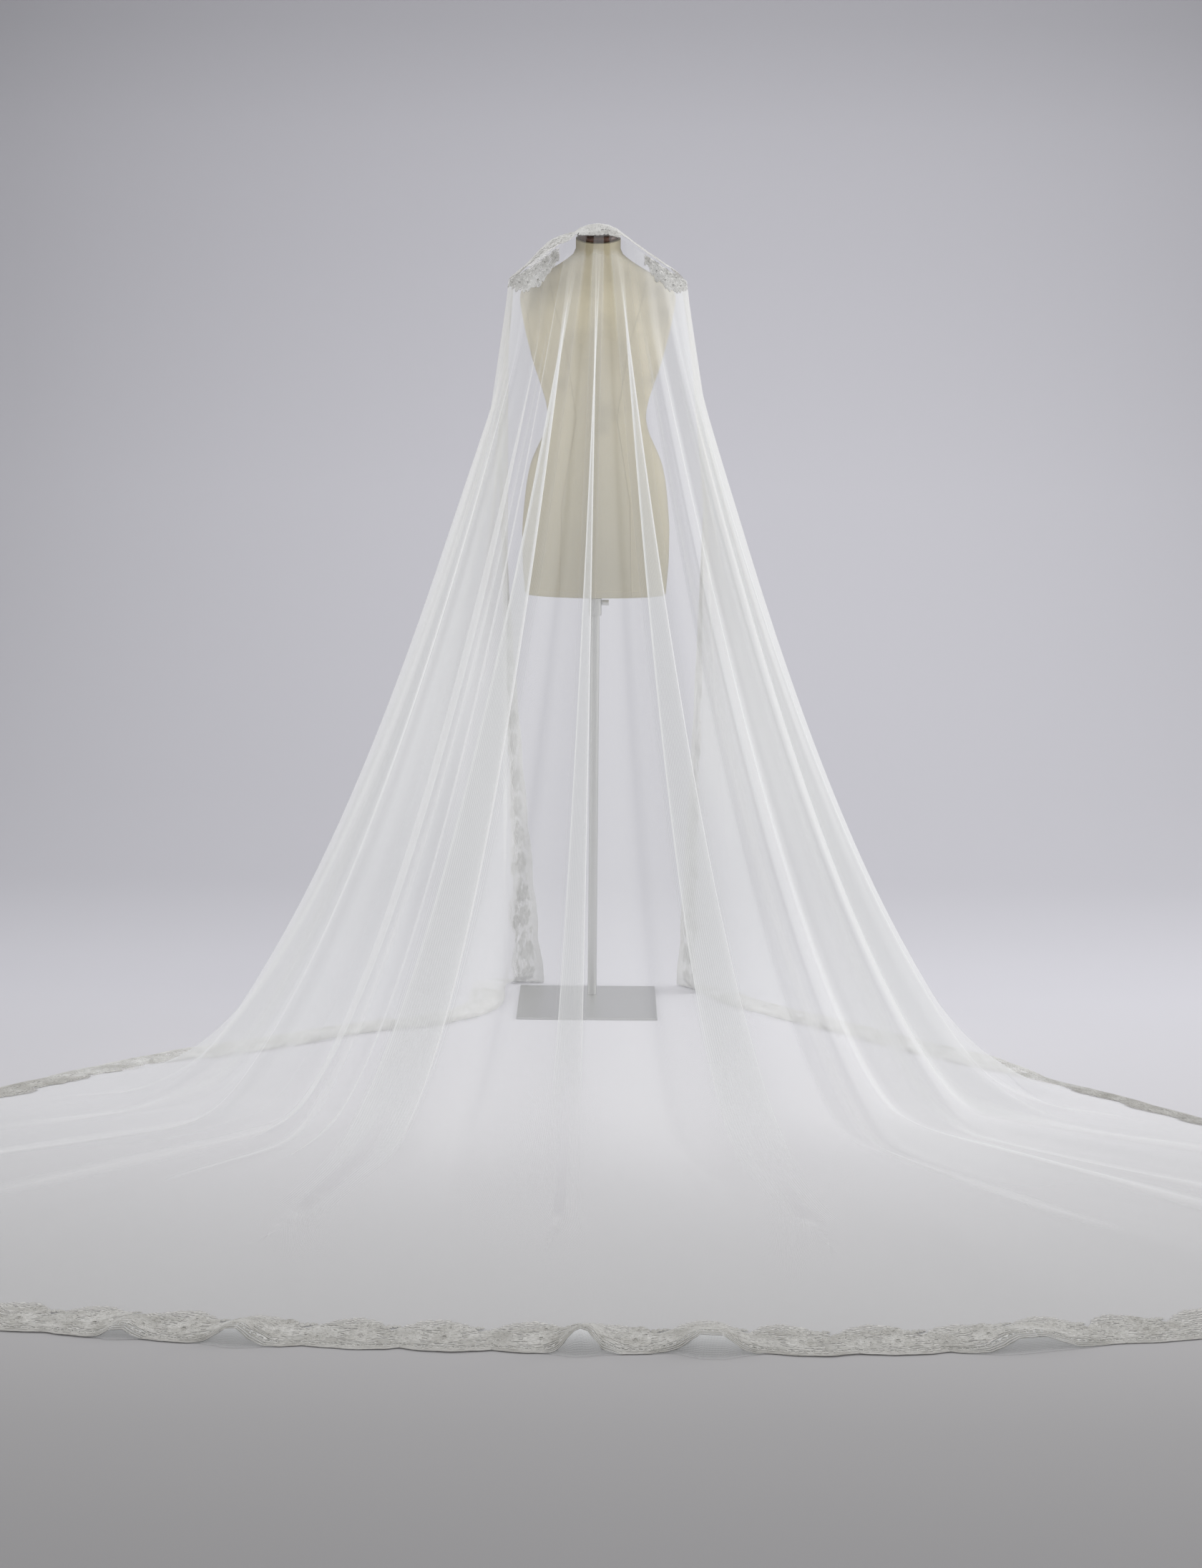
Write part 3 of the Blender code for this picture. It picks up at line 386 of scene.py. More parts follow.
for side in (-1, 1):
    for face in (-1, 1):
        turn = princess_turn if side > 0 else math.pi - princess_turn
        lay_welt(on_body(face * turn, climb)[climb < PRINCESS_TO])
    lay_welt(on_body(hole_turn if side > 0 else math.pi - hole_turn, hole_height), closed=True)
lay_welt(on_body(side_angles, np.full(BODY_SIDES, BOTTOM_SEAM)), closed=True)
welts = make_mesh("cover_seams", np.concatenate(welt_points), welt_faces)
# The seams are a darker copy of the cover's canvas, with the same stains and the same painted shade towards the
# bottom.
seam_canvas = canvas.copy()
seam_canvas.name = "seam_canvas"
seam_canvas.node_tree.nodes["Mix"].inputs["A"].default_value = (0.60, 0.54, 0.375, 1)
seam_canvas.node_tree.nodes["Mix"].inputs["B"].default_value = (0.50, 0.44, 0.295, 1)
welts.data.materials.append(seam_canvas)
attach(welts, "root")


# Neck cap: a disc turned from dark wood, rounded at its rim and varnished. It is screwed down on the
# slanted end of the neck. The grain runs across it.
CAP_TONE = (0.115, 0.047, 0.030)


def add_ramp(nodes, giver, shader, *stops):
    """Gives the shader a colour between two stops, each a place and a colour, by what the giver says."""
    ramp = add_node(nodes, "ShaderNodeValToRGB")
    for stop, (place, colour) in zip(ramp.color_ramp.elements, stops):
        stop.position = place
        stop.color = (*colour, 1)
    join(giver, "Fac", ramp, "Fac")
    join(ramp, "Color", shader, "Base Color")


cap_wood, nodes, shader = new_finish("varnished_wood", CAP_TONE, 0.42)
shader.inputs["Coat Weight"].default_value = 0.35
shader.inputs["Coat Roughness"].default_value = 0.25
stretch = add_node(nodes, "ShaderNodeMapping", {"Scale": (1, 9, 9)})
grain = add_node(nodes, "ShaderNodeTexNoise", {"Scale": 26, "Detail": 7})
join(add_node(nodes, "ShaderNodeTexCoord"), "Object", stretch, "Vector")
join(stretch, "Vector", grain, "Vector")
add_ramp(nodes, grain, shader, (0.35, (0.055, 0.022, 0.015)), (0.70, (0.17, 0.078, 0.050)))
packed["neck_cap"].data.materials.clear()
packed["neck_cap"].data.materials.append(cap_wood)


# Veil: one large oval of silk net. Its short end lies over the cap and the shoulders, and from that
# lip it falls as a bell in front and as two curtains behind, then spreads over the floor.
# Three pleats stay closed down the front and open out flat near the hem.
LAYER = 0.0065
NET_REST = 0.0011
BORDER = 0.15
PLEAT_EDGE = 0.035
OPEN_FROM = 0.80
OPEN_OVER = 0.16
SCALLOP = 0.14
SCALLOP_DEEP = 0.014
FALL_ROWS = 130
BORDER_ROWS = 16
PLEATS = ("band_left", "middle", "band_right")
PLEAT_LIFTS = (2.0, 2.0, 1.25, 0.75, 0.0, 0.0)
# One row per fall line of the veil, from the left free edge round the front to the right free edge.
# lip: where the line starts to fall. mid: where it leaves the body. land: where it meets the floor.
# flare: how early it spreads outwards. hem: where it ends. lift: how many layers of a closed pleat
# lie under it.
Line = namedtuple("Line", "name lip mid land flare_x flare_y hem lift", defaults=(0,))


def pleat_lines(name, one, two, lips):
    """The six lines of a closed pleat: a and b on top, c and d through its middle layer, e and f below."""
    return [Line(f"{name}_{letter}", lip, lip, *edge, lift)
            for letter, lip, edge, lift in zip("abcdef", lips, (one, two, two, one, one, two), PLEAT_LIFTS)]


LINES = [
    Line("edge_left", (-0.181, 0.13, 1.644), (-0.208, 0.135, 1.29), (-0.1, 0.197), 1.2, 1.0, (-0.118, 0.246)),
    Line("far_1", (-0.185, 0.117, 1.647), (-0.209, 0.06, 1.29), (-0.188, 0.172), 1.2, 1.0, (-0.262, 0.222)),
    Line("far_2", (-0.188, 0.104, 1.65), (-0.199, 0.045, 1.29), (-0.2, -0.07), 1.1, 1.1, (-0.284, -0.02)),
    Line("far_3", (-0.19, 0.091, 1.652), (-0.211, 0.035, 1.29), (-0.31, -0.222), 1.15, 1.15, (-0.358, -0.135)),
    Line("far_4", (-0.191, 0.078, 1.653), (-0.206, 0.022, 1.29), (-0.47, -0.305), 1.2, 1.2, (-0.525, -0.22)),
    Line("far_5", (-0.191, 0.065, 1.654), (-0.221, 0.012, 1.29), (-0.64, -0.435), 1.35, 1.25, (-0.705, -0.345)),
    Line("far_6", (-0.19, 0.052, 1.655), (-0.225, 0.0, 1.29), (-0.78, -0.525), 1.6, 1.3, (-0.88, -0.46)),
    Line("wing_left_a", (-0.188, 0.041, 1.656), (-0.235, -0.008, 1.28), (-0.9, -0.575), 1.9, 1.3, (-1.005, -0.575)),
    Line("wing_left_b", (-0.183, 0.032, 1.659), (-0.234, -0.03, 1.28), (-0.93, -0.63), 1.88, 1.32, (-1.09, -0.66)),
    Line("left_1", (-0.172, 0.024, 1.664), (-0.212, -0.045, 1.4), (-0.9, -0.75), 1.8, 1.38, (-1.26, -0.855)),
    Line("left_2", (-0.158, 0.017, 1.671), (-0.194, -0.062, 1.45), (-0.895, -0.88), 1.72, 1.42, (-1.46, -1.105)),
    Line("left_3", (-0.143, 0.011, 1.68), (-0.168, -0.06, 1.5), (-0.77, -0.9), 1.65, 1.45, (-1.625, -1.39)),
    Line("left_4", (-0.127, 0.006, 1.69), (-0.16, -0.078, 1.5), (-0.76, -1.06), 1.65, 1.5, (-1.69, -1.68)),
    Line("left_5", (-0.11, 0.002, 1.702), (-0.125, -0.07, 1.52), (-0.62, -1.02), 1.62, 1.5, (-1.6, -1.93)),
    Line("left_6", (-0.092, -0.002, 1.715), (-0.11, -0.075, 1.55), (-0.59, -1.19), 1.6, 1.5, (-1.37, -2.07)),
    Line("left_7", (-0.073, -0.005, 1.728), (-0.082, -0.06, 1.6), (-0.52, -1.15), 1.6, 1.5, (-1.09, -2.14)),
    *pleat_lines("band_left",
                 ((-0.485, -1.335), 1.62, 1.5, (-0.72, -2.203)), ((-0.378, -1.335), 1.9, 1.5, (-0.62, -2.217)),
                 ((-0.055, -0.003, 1.739), (-0.046, -0.001, 1.744), (-0.038, 0.001, 1.748),
                  (-0.03, 0.003, 1.75), (-0.023, 0.004, 1.751), (-0.016, 0.005, 1.752))),
    Line("valley_left", (-0.006, 0.008, 1.752), (-0.006, 0.008, 1.752), (-0.235, -1.12), 1.75, 1.6, (-0.35, -2.24)),
    *pleat_lines("middle",
                 ((-0.072, -1.58), 1.5, 1.5, (-0.132, -2.25)), ((-0.008, -1.58), 1.5, 1.5, (-0.068, -2.251)),
                 ((0.002, 0.006, 1.752), (0.006, 0.005, 1.752), (0.01, 0.005, 1.752),
                  (0.015, 0.005, 1.752), (0.019, 0.005, 1.752), (0.023, 0.006, 1.752))),
    Line("valley_right", (0.029, 0.008, 1.752), (0.029, 0.008, 1.752), (0.185, -1.18), 1.8, 1.6, (0.27, -2.252)),
    *pleat_lines("band_right",
                 ((0.312, -1.37), 1.95, 1.5, (0.458, -2.249)), ((0.405, -1.37), 1.6, 1.5, (0.56, -2.241)),
                 ((0.036, 0.005, 1.752), (0.043, 0.004, 1.751), (0.05, 0.003, 1.749),
                  (0.057, 0.001, 1.747), (0.065, -0.001, 1.743), (0.074, -0.003, 1.738))),
    Line("right_7", (0.092, -0.005, 1.727), (0.103, -0.06, 1.6), (0.52, -1.13), 1.6, 1.5, (1.04, -2.15)),
    Line("right_6", (0.112, -0.002, 1.714), (0.132, -0.075, 1.55), (0.61, -1.19), 1.6, 1.5, (1.345, -2.07)),
    Line("right_5", (0.131, 0.002, 1.702), (0.15, -0.07, 1.52), (0.64, -1.01), 1.62, 1.5, (1.6, -1.945)),
    Line("right_4", (0.149, 0.006, 1.69), (0.185, -0.078, 1.5), (0.785, -1.07), 1.65, 1.5, (1.7, -1.72)),
    Line("right_3", (0.165, 0.011, 1.68), (0.196, -0.06, 1.5), (0.795, -0.91), 1.65, 1.45, (1.64, -1.46)),
    Line("right_2", (0.18, 0.017, 1.671), (0.222, -0.062, 1.45), (0.92, -0.89), 1.72, 1.42, (1.47, -1.2)),
    Line("right_1", (0.193, 0.024, 1.664), (0.242, -0.045, 1.4), (0.92, -0.775), 1.75, 1.38, (1.255, -0.96)),
    Line("wing_right_b", (0.204, 0.032, 1.659), (0.272, -0.03, 1.25), (0.94, -0.665), 1.76, 1.32, (1.075, -0.745)),
    Line("wing_right_a", (0.209, 0.041, 1.656), (0.274, -0.008, 1.25), (0.9, -0.61), 1.78, 1.3, (0.985, -0.655)),
    Line("far_12", (0.211, 0.052, 1.655), (0.262, 0.0, 1.25), (0.8, -0.535), 1.55, 1.3, (0.895, -0.48)),
    Line("far_11", (0.212, 0.065, 1.654), (0.263, 0.012, 1.25), (0.69, -0.43), 1.35, 1.25, (0.755, -0.34)),
    Line("far_10", (0.212, 0.078, 1.653), (0.247, 0.024, 1.25), (0.57, -0.29), 1.2, 1.2, (0.625, -0.2)),
    Line("far_9", (0.211, 0.091, 1.652), (0.258, 0.036, 1.25), (0.45, -0.165), 1.15, 1.15, (0.5, -0.075)),
    Line("far_8", (0.209, 0.104, 1.65), (0.246, 0.048, 1.25), (0.34, -0.04), 1.1, 1.1, (0.405, 0.035)),
    Line("far_7", (0.206, 0.117, 1.647), (0.262, 0.062, 1.25), (0.268, 0.08), 1.2, 1.0, (0.345, 0.13)),
    Line("edge_right", (0.202, 0.13, 1.644), (0.262, 0.135, 1.25), (0.21, 0.185), 1.2, 1.0, (0.235, 0.236)),
]
LINE_NAMES = [line.name for line in LINES]


def smoothstep(value):
    held = np.clip(value, 0.0, 1.0)
    return held * held * (3 - 2 * held)


def unit(vectors):
    return vectors / (np.linalg.norm(vectors, axis=-1, keepdims=True) + 1e-12)


def run_of(path):
    steps = np.linalg.norm(np.diff(path, axis=0), axis=1)
    return np.concatenate([[0.0], np.cumsum(steps)])


def at_run(path, run, where):
    return np.stack([np.interp(where, run, path[:, axis]) for axis in range(3)], -1)


def fall_path(line, count=260):
    """Points down one line: over the body to mid, out to the floor, then along the floor to the hem."""
    lip, mid = np.array(line.lip), np.array(line.mid)
    height = lip[2] * (1 - np.linspace(0, 1, count)) ** 1.3
    above = np.clip((lip[2] - height) / (lip[2] - mid[2]), 0, 1) if lip[2] > mid[2] else np.ones(count)
    down = np.clip(height / mid[2], 0, 1)
    x, y = (lip[axis] + (mid[axis] - lip[axis]) * above + (line.land[axis] - mid[axis]) * (1 - down ** (1 / flare))
            for axis, flare in enumerate((line.flare_x, line.flare_y)))
    along = np.linspace(0, 1, 66)[1:, None]
    land, hem = np.array([*line.land, 0.0]), np.array([*line.hem, 0.0])
    return eased(np.concatenate([np.stack([x, y, height], 1), land + (hem - land) * along]), 36)


def line_points(line, parts):
    """The line sampled for every row: parts run 0 to 1 down to the border, and 1 to 2 across the border."""
    path = fall_path(line)
    run = run_of(path)
    length = run[-1]
    border = min(BORDER, length * 0.2)
    where = np.where(parts <= 1, parts * (length - border), length - border + (parts - 1) * border)
    points = at_run(path, run, where)
    tangent = at_run(path, run, np.minimum(where + 0.004, length)) - at_run(path, run, np.maximum(where - 0.004, 0))
    flat = np.hypot(tangent[:, 0], tangent[:, 1])
    steep = -tangent[:, 2]
    size = np.hypot(flat, steep)
    aim = unit(np.array([line.land[0] - line.lip[0], line.land[1] - line.lip[1]]))
    out = np.stack([aim[0] * steep / size, aim[1] * steep / size, flat / size], 1)
    # The layers lie close at the lip, and again where the pleat opens.
    closed = smoothstep(where / 0.10) * (1 - 0.93 * smoothstep((parts - OPEN_FROM + 0.08) / 0.10))
    lifted = points + out * (line.lift * LAYER * closed)[:, None]
    lifted[:, 2] = np.maximum(lifted[:, 2], 0) + NET_REST
    return lifted, length - where


def open_pleat(lines, parts, first):
    """Moves the six lines of a pleat from their closed places to six places side by side as it nears the hem."""
    left, right = lines[first + 4].copy(), lines[first + 5].copy()
    middle = (left + right) / 2
    half = np.linalg.norm((right - left)[:, :2], axis=1) / 2
    way = unit((right - left) * np.array([1.0, 1.0, 0.0]))
    turn = smoothstep((parts - OPEN_FROM) / OPEN_OVER)[:, None]
    for number, (side, edges) in enumerate(((-1, 2), (-1, 1), (-1, 0), (1, 0), (1, 1), (1, 2))):
        spread = middle + way * (side * (half + edges * PLEAT_EDGE))[:, None]
        spread[:, 2] = lines[first + number][:, 2]
        lines[first + number] = lines[first + number] * (1 - turn) + spread * turn


def soft_between(before, first, last, after, share):
    """A place between first and last on a smooth curve through all four."""
    def slope(a, b, c):
        one, two = b - a, c - b
        long_one = np.linalg.norm(one, axis=-1, keepdims=True) + 1e-9
        long_two = np.linalg.norm(two, axis=-1, keepdims=True) + 1e-9
        way = one * long_two + two * long_one
        return way / (np.linalg.norm(way, axis=-1, keepdims=True) + 1e-9) * np.minimum(long_one, long_two)
    start, stop, s = slope(before, first, last), slope(first, last, after), share
    return ((2 * s**3 - 3 * s**2 + 1) * first + (s**3 - 2 * s**2 + s) * start
            + (3 * s**2 - 2 * s**3) * last + (s**3 - s**2) * stop)


# A few rows lie close together where each pleat has opened halfway, so that its tip ends cleanly.
TIP_ROWS = np.array((-0.012, -0.007, -0.003, -0.001, 0.001, 0.003, 0.007, 0.012))
PLEAT_COLUMNS = 3
OTHER_COLUMNS = 8
fall_rows = np.sort(np.concatenate([np.linspace(0, 1, FALL_ROWS) ** 1.08, OPEN_FROM + OPEN_OVER / 2 + TIP_ROWS]))
rows_down = np.concatenate([fall_rows, 1 + np.linspace(0, 1, BORDER_ROWS + 1)[1:]])
sampled = [line_points(line, rows_down) for line in LINES]
key_lines = [points for points, _ in sampled]
key_rest = [rest for _, rest in sampled]
for pleat in PLEATS:
    open_pleat(key_lines, rows_down, LINE_NAMES.index(pleat + "_a"))
# One more line past each free edge, to lead the curve there.
led_lines = [2 * key_lines[0] - key_lines[1], *key_lines, 2 * key_lines[-1] - key_lines[-2]]
veil_columns, veil_rest, line_numbers, line_place = [key_lines[0]], [key_rest[0]], [0.0], {LINES[0].name: 0}
for number, line in enumerate(LINES[:-1]):
    in_pleat = line.name[:-2] in PLEATS and not line.name.endswith("_f")
    steps = (PLEAT_COLUMNS if in_pleat else OTHER_COLUMNS) + 1
    for share in np.arange(1, steps) / steps:
        veil_columns.append(soft_between(*led_lines[number:number + 4], share))
        veil_rest.append((1 - share) * key_rest[number] + share * key_rest[number + 1])
        line_numbers.append(number + share)
    line_place[LINES[number + 1].name] = len(veil_columns)
    veil_columns.append(key_lines[number + 1])
    veil_rest.append(key_rest[number + 1])
    line_numbers.append(number + 1.0)
veil = np.stack(veil_columns, 1)
from_hem = np.stack(veil_rest, 1)
line_numbers = np.array(line_numbers)
veil[..., 2] = np.maximum(veil[..., 2], NET_REST)
row_count, column_count = veil.shape[:2]
hem_run = run_of(veil[-1])
hem_run = hem_run - hem_run[line_place["middle_c"]]


def cloth_normals(grid):
    across = np.gradient(grid, axis=1)
    down = np.gradient(grid, axis=0)
    return unit(np.cross(unit(down), unit(across)))


# Soft gathers: shallow troughs and ridges that spread from the lip towards the floor, uneven in width,
# and low swells and creases where the train lies on the floor.
in_pleats = np.zeros(column_count)
for pleat in PLEATS:
    first, last = LINE_NAMES.index(pleat + "_a"), LINE_NAMES.index(pleat + "_f")
    near = np.clip(np.minimum(line_numbers - (first - 0.7), (last + 0.7) - line_numbers) / 0.7, 0, 1)
    in_pleats = np.maximum(in_pleats, smoothstep(near))
GATHERS = ((0.43, 0.30, 0.0046), (0.71, 1.90, 0.0034), (1.13, 4.10, 0.0024), (1.87, 2.60, 0.0013))
falling = smoothstep(rows_down / 0.28) * (1 - 0.72 * smoothstep((rows_down - 0.72) / 0.18))
falling *= 1 - smoothstep((rows_down - 0.9) / 0.1)
normals = cloth_normals(veil)
gather = np.zeros((row_count, column_count))
for waves, start, high in GATHERS:
    drift = 0.5 * np.sin(2.3 * rows_down[:, None] * waves + start)
    gather += high * np.sin(2 * math.pi * waves * line_numbers[None, :] + start + drift)
veil = veil + normals * (gather * falling[:, None] * (1 - in_pleats)[None, :])[..., None]
veil[..., 2] = np.maximum(veil[..., 2], NET_REST)

Swell = namedtuple("Swell", "along inward half_along half_in high")
SWELLS = [Swell(*row) for row in (
    (-2.3, 0.35, 0.16, 0.22, 0.010), (-1.75, 0.45, 0.12, 0.30, 0.013), (-1.35, 0.40, 0.10, 0.25, 0.009),
    (-0.95, 0.45, 0.10, 0.30, 0.012), (-0.35, 0.50, 0.12, 0.30, 0.008), (0.30, 0.45, 0.12, 0.30, 0.008),
    (0.95, 0.45, 0.10, 0.30, 0.012), (1.40, 0.42, 0.11, 0.28, 0.010), (1.85, 0.45, 0.12, 0.30, 0.012),
    (2.35, 0.35, 0.16, 0.22, 0.010))]
on_floor = smoothstep((0.10 - veil[..., 2]) / 0.10)
swelling = np.zeros((row_count, column_count))
for swell in SWELLS:
    aside = (hem_run[None, :] - swell.along) / swell.half_along
    inward = (from_hem - swell.inward) / swell.half_in
    swelling += swell.high * np.exp(-aside**2 - inward**2)
crease = np.abs(np.sin(hem_run[None, :] * 23 + 2.2 * np.sin(from_hem * 5 + hem_run[None, :] * 1.7))) ** 9
swelling += 0.0022 * crease * smoothstep((from_hem - BORDER) / 0.2)
veil[..., 2] += swelling * on_floor * smoothstep((from_hem - BORDER) / 0.08)


# Scalloped edge: the border is cut along the outer cord of its lace, and here and there it stands off
# the floor in small arches, or is turned a little up.
def scallop_cut(along):
    wave = np.abs(np.sin(math.pi * along / SCALLOP)) ** 0.7
    small = 0.25 * np.abs(np.sin(math.pi * (along + 0.03) / (SCALLOP * 0.37)))
    return np.maximum(SCALLOP_DEEP * (1 - 0.8 * wave - small * 0.6), 0)


Arch = namedtuple("Arch", "along half high")
ARCHES = [Arch(*row) for row in (
    (-2.55, 0.060, 0.022), (-2.05, 0.050, 0.026), (-1.62, 0.055, 0.022), (-1.24, 0.050, 0.022),
    (-0.86, 0.036, 0.026), (-0.58, 0.024, 0.018), (-0.40, 0.036, 0.026), (0.135, 0.030, 0.036),
    (0.335, 0.046, 0.034), (0.83, 0.060, 0.024), (1.22, 0.050, 0.018), (1.66, 0.055, 0.024),
    (2.10, 0.050, 0.020), (2.58, 0.060, 0.024))]
ROLL = 0.030
ROLL_HIGH = 0.034
FULL_ARCH = 0.036
corner_left, corner_right = line_place["far_1"], line_place["far_7"]
first_border = len(fall_rows) - 1
hem_fade = smoothstep((hem_run - hem_run[corner_left]) / 0.08) * smoothstep((hem_run[corner_right] - hem_run) / 0.08)
border = veil[first_border:].copy()
inner_row, outer_row = border[0], border[-1]
cut = scallop_cut(hem_run) * hem_fade / np.linalg.norm(outer_row - inner_row, axis=1)
shares = np.linspace(0, 1, BORDER_ROWS + 1)[:, None, None]
veil[first_border:] = border + (inner_row - border) * (shares * cut[None, :, None])
rolled = np.zeros((row_count, column_count))
for arch in ARCHES:
    aside = (hem_run[None, :] - arch.along) / arch.half
    across = from_hem / ROLL
    rolled += arch.high / FULL_ARCH * np.exp(-aside**2) * across * np.exp(1 - across) * on_floor * hem_fade[None, :]
veil[..., 2] += ROLL_HIGH * rolled
outward = unit((veil[-1] - veil[first_border]) * (1, 1, 0))
bulge = sum(0.6 * arch.high * np.exp(-(((hem_run - arch.along) / arch.half) ** 2)) for arch in ARCHES) * hem_fade
veil += outward[None, :, :] * (bulge[None, :] * np.exp(-from_hem / 0.03) * on_floor)[..., None]
free_run = run_of(veil[:, 0])
for outer, inner in ((0, corner_left), (column_count - 1, corner_right)):
    step = 1 if inner > outer else -1
    edge = scallop_cut(run_of(veil[:, outer])) * smoothstep(free_run / 0.2)
    inner_line, outer_line = veil[:, inner].copy(), veil[:, outer].copy()
    wide = np.linalg.norm(inner_line - outer_line, axis=1)
    for column in range(outer, inner, step):
        share = abs(inner - column) / abs(inner - outer)
        veil[:, column] += unit(inner_line - outer_line) * (share * edge * np.clip(wide / BORDER, 0, 1))[:, None]
normals = cloth_normals(veil)


# Short end over the cap and the shoulders, from its free back edge to the lip where the veil falls.
# It is the border of the oval, and its back edge is scalloped as the rest of the border is.
CROWN_BACK = np.array([
    (-0.182, 0.136, 1.6455), (-0.186, 0.136, 1.6500), (-0.178, 0.133, 1.6620), (-0.150, 0.128, 1.6890),
    (-0.110, 0.126, 1.7160), (-0.070, 0.128, 1.7430), (-0.044, 0.127, 1.7640), (-0.028, 0.132, 1.7730),
    (-0.008, 0.137, 1.7798), (0.011, 0.139, 1.7818), (0.030, 0.137, 1.7798), (0.050, 0.132, 1.7730),
    (0.066, 0.127, 1.7640), (0.092, 0.128, 1.7430), (0.132, 0.126, 1.7160), (0.172, 0.128, 1.6890),
    (0.199, 0.133, 1.6620), (0.207, 0.136, 1.6500), (0.203, 0.136, 1.6455)])
CROWN_ENDS = 0.035
CROWN_ROWS = 22
CAP_HALF = 0.062
CAP_RISE = 0.0115
SLACK_RISE = 0.003
lip = veil[0]
lip_run = run_of(lip)
lip_share = lip_run / lip_run[-1]
crown_columns = np.flatnonzero((lip_share > CROWN_ENDS) & (lip_share < 1 - CROWN_ENDS))
back_run = run_of(CROWN_BACK)
crown_front = lip[crown_columns]
crown_rear = eased(at_run(CROWN_BACK, back_run / back_run[-1], lip_share[crown_columns]), 10)
over_cap = np.clip(1 - np.abs(crown_front[:, 0] - BODY_X) / CAP_HALF, 0, 1) ** 0.5
crown_share = np.linspace(0, 1, CROWN_ROWS)[:, None]
arched = np.sin(math.pi * crown_share)
crown = crown_rear * (1 - crown_share[..., None]) + crown_front * crown_share[..., None]
crown[..., 2] += over_cap * CAP_RISE * arched * (0.4 + crown_share) + SLACK_RISE * arched
# On the left shoulder the border stands up in a low puff behind the fold, so its lace shows from the front.
PUFF_HIGH = 0.021
PUFF_FROM, PUFF_TO = -0.185, -0.045
puff_place = np.clip((crown_front[:, 0] - PUFF_FROM) / (PUFF_TO - PUFF_FROM), 0, 1)
crown[..., 2] += PUFF_HIGH * np.sin(math.pi * puff_place) ** 1.5 * arched.clip(0) ** 0.8
BACK_CUT = 0.7
BACK_ROWS = 6
back_cut = scallop_cut(lip_run[crown_columns]) * BACK_CUT
rearward = unit(crown[1] - crown[0])
for row in range(BACK_ROWS):
    crown[row] += rearward * (back_cut * (1 - row / BACK_ROWS))[:, None]
crown_normals = cloth_normals(crown)

# How close the threads lie: the net is fullest where it is gathered behind the shoulders, and each fold
# that turns over on itself shows as a whiter line.
Streak = namedtuple("Streak", "line from_row to_row wide full")
STREAKS = [Streak(*row) for row in (
    (9.4, 0.10, 0.86, 0.10, 0.30), (10.6, 0.06, 0.80, 0.12, 0.26), (11.5, 0.05, 0.82, 0.09, 0.30),
    (13.2, 0.04, 0.78, 0.12, 0.22), (14.4, 0.04, 0.70, 0.08, 0.26), (36.4, 0.04, 0.80, 0.10, 0.26),
    (37.7, 0.04, 0.82, 0.08, 0.32), (38.6, 0.06, 0.84, 0.12, 0.24), (40.3, 0.05, 0.86, 0.10, 0.30),
    (41.4, 0.10, 0.86, 0.08, 0.30))]
full = np.zeros((row_count, column_count))
for streak in STREAKS:
    sway = streak.line + 0.25 * np.sin(rows_down * 3 + streak.line)[:, None]
    line = np.exp(-(((line_numbers[None, :] - sway) / streak.wide) ** 2))
    ends = smoothstep((rows_down - streak.from_row) / 0.08) * (1 - smoothstep((rows_down - streak.to_row) / 0.10))
    full += streak.full * line * ends[:, None]
NET_TONE = (0.95, 0.955, 0.945)
NET_COVER = 0.26
PLEAT_FULL = 0.05
MEET_OVER = 0.16
FADE_AHEAD, FADE_OVER = 0.19, 0.17
TURN_FULL = 0.50
ROLL_FULL = 0.55
CROWN_FULL = -0.10
side_share = smoothstep((np.abs(line_numbers - 25) - 10) / 8)
right_share = smoothstep((line_numbers - 35) / 3)
at_neck = smoothstep((line_numbers - 14.5) / 2) * (1 - smoothstep((line_numbers - 33.5) / 2))
full += 0.22 * side_share * (1 - 0.6 * smoothstep((rows_down - 0.6) / 0.3))[:, None]
# Each row: how much fuller, over which columns, from which part of the way down and over how much. Over the
# neck the folds lie close, yet the net is so fine that the canvas and the wooden rim show through.
for more, columns, from_row, over in ((0.10, side_share, 0.15, 0.2), (0.12, right_share, 0.68, 0.12),
                                      (-0.16, at_neck * (1 - in_pleats), 0.02, 0.12), (-0.20, at_neck, 0.010, 0.008)):
    full += more * (1 - smoothstep((rows_down - from_row) / over))[:, None] * columns
# Towards the hem each pleat fades into the flat train: of its three layers the outer two are left, each on
# its own side of the middle, until it opens. The narrow turns at its two sides are seen almost edge on, as
# fine white lines.
pleat_turn = smoothstep((rows_down - OPEN_FROM) / OPEN_OVER)
pleat_fade = smoothstep((rows_down - OPEN_FROM + FADE_AHEAD) / FADE_OVER) * (pleat_turn < 0.5)
narrow = np.clip((0.5 - pleat_turn) / 0.065, 0, 1)[:, None]
turn_full = TURN_FULL * smoothstep((rows_down - 0.02) / 0.10) * (1 - pleat_fade) * (rows_down < OPEN_FROM)
for pleat in PLEATS:
    first = LINE_NAMES.index(pleat + "_a")
    inside = np.flatnonzero((line_numbers >= first) & (line_numbers <= first + 5))
    place = line_numbers[inside] - first
    from_a, to_f = veil[:, inside[:1]], veil[:, inside[-1:]]
    across = (to_f - from_a) * (1, 1, 0)
    past_middle = ((veil[:, inside] - (from_a + to_f) / 2) * across).sum(-1) / (across ** 2).sum(-1)
    past_middle = np.where(place <= 2, past_middle, -past_middle)
    kept = np.where((place > 2) & (place < 3), 0.0, 1 - narrow * smoothstep(past_middle / MEET_OVER + 0.5))
    full[:, inside] += PLEAT_FULL * ((1 - pleat_fade) * (pleat_turn < 0.5))[:, None]
    full[:, inside] -= NET_COVER * pleat_fade[:, None] * (1 - kept)
    full[:, inside] += turn_full[:, None] * (((place > 1) & (place < 2)) | ((place > 3) & (place < 4)))
# Where the edge of the hem rolls under, its plain face shows as a smooth strip.
full += ROLL_FULL * np.clip(rolled, 0, 1) * (from_hem < ROLL + 0.01)

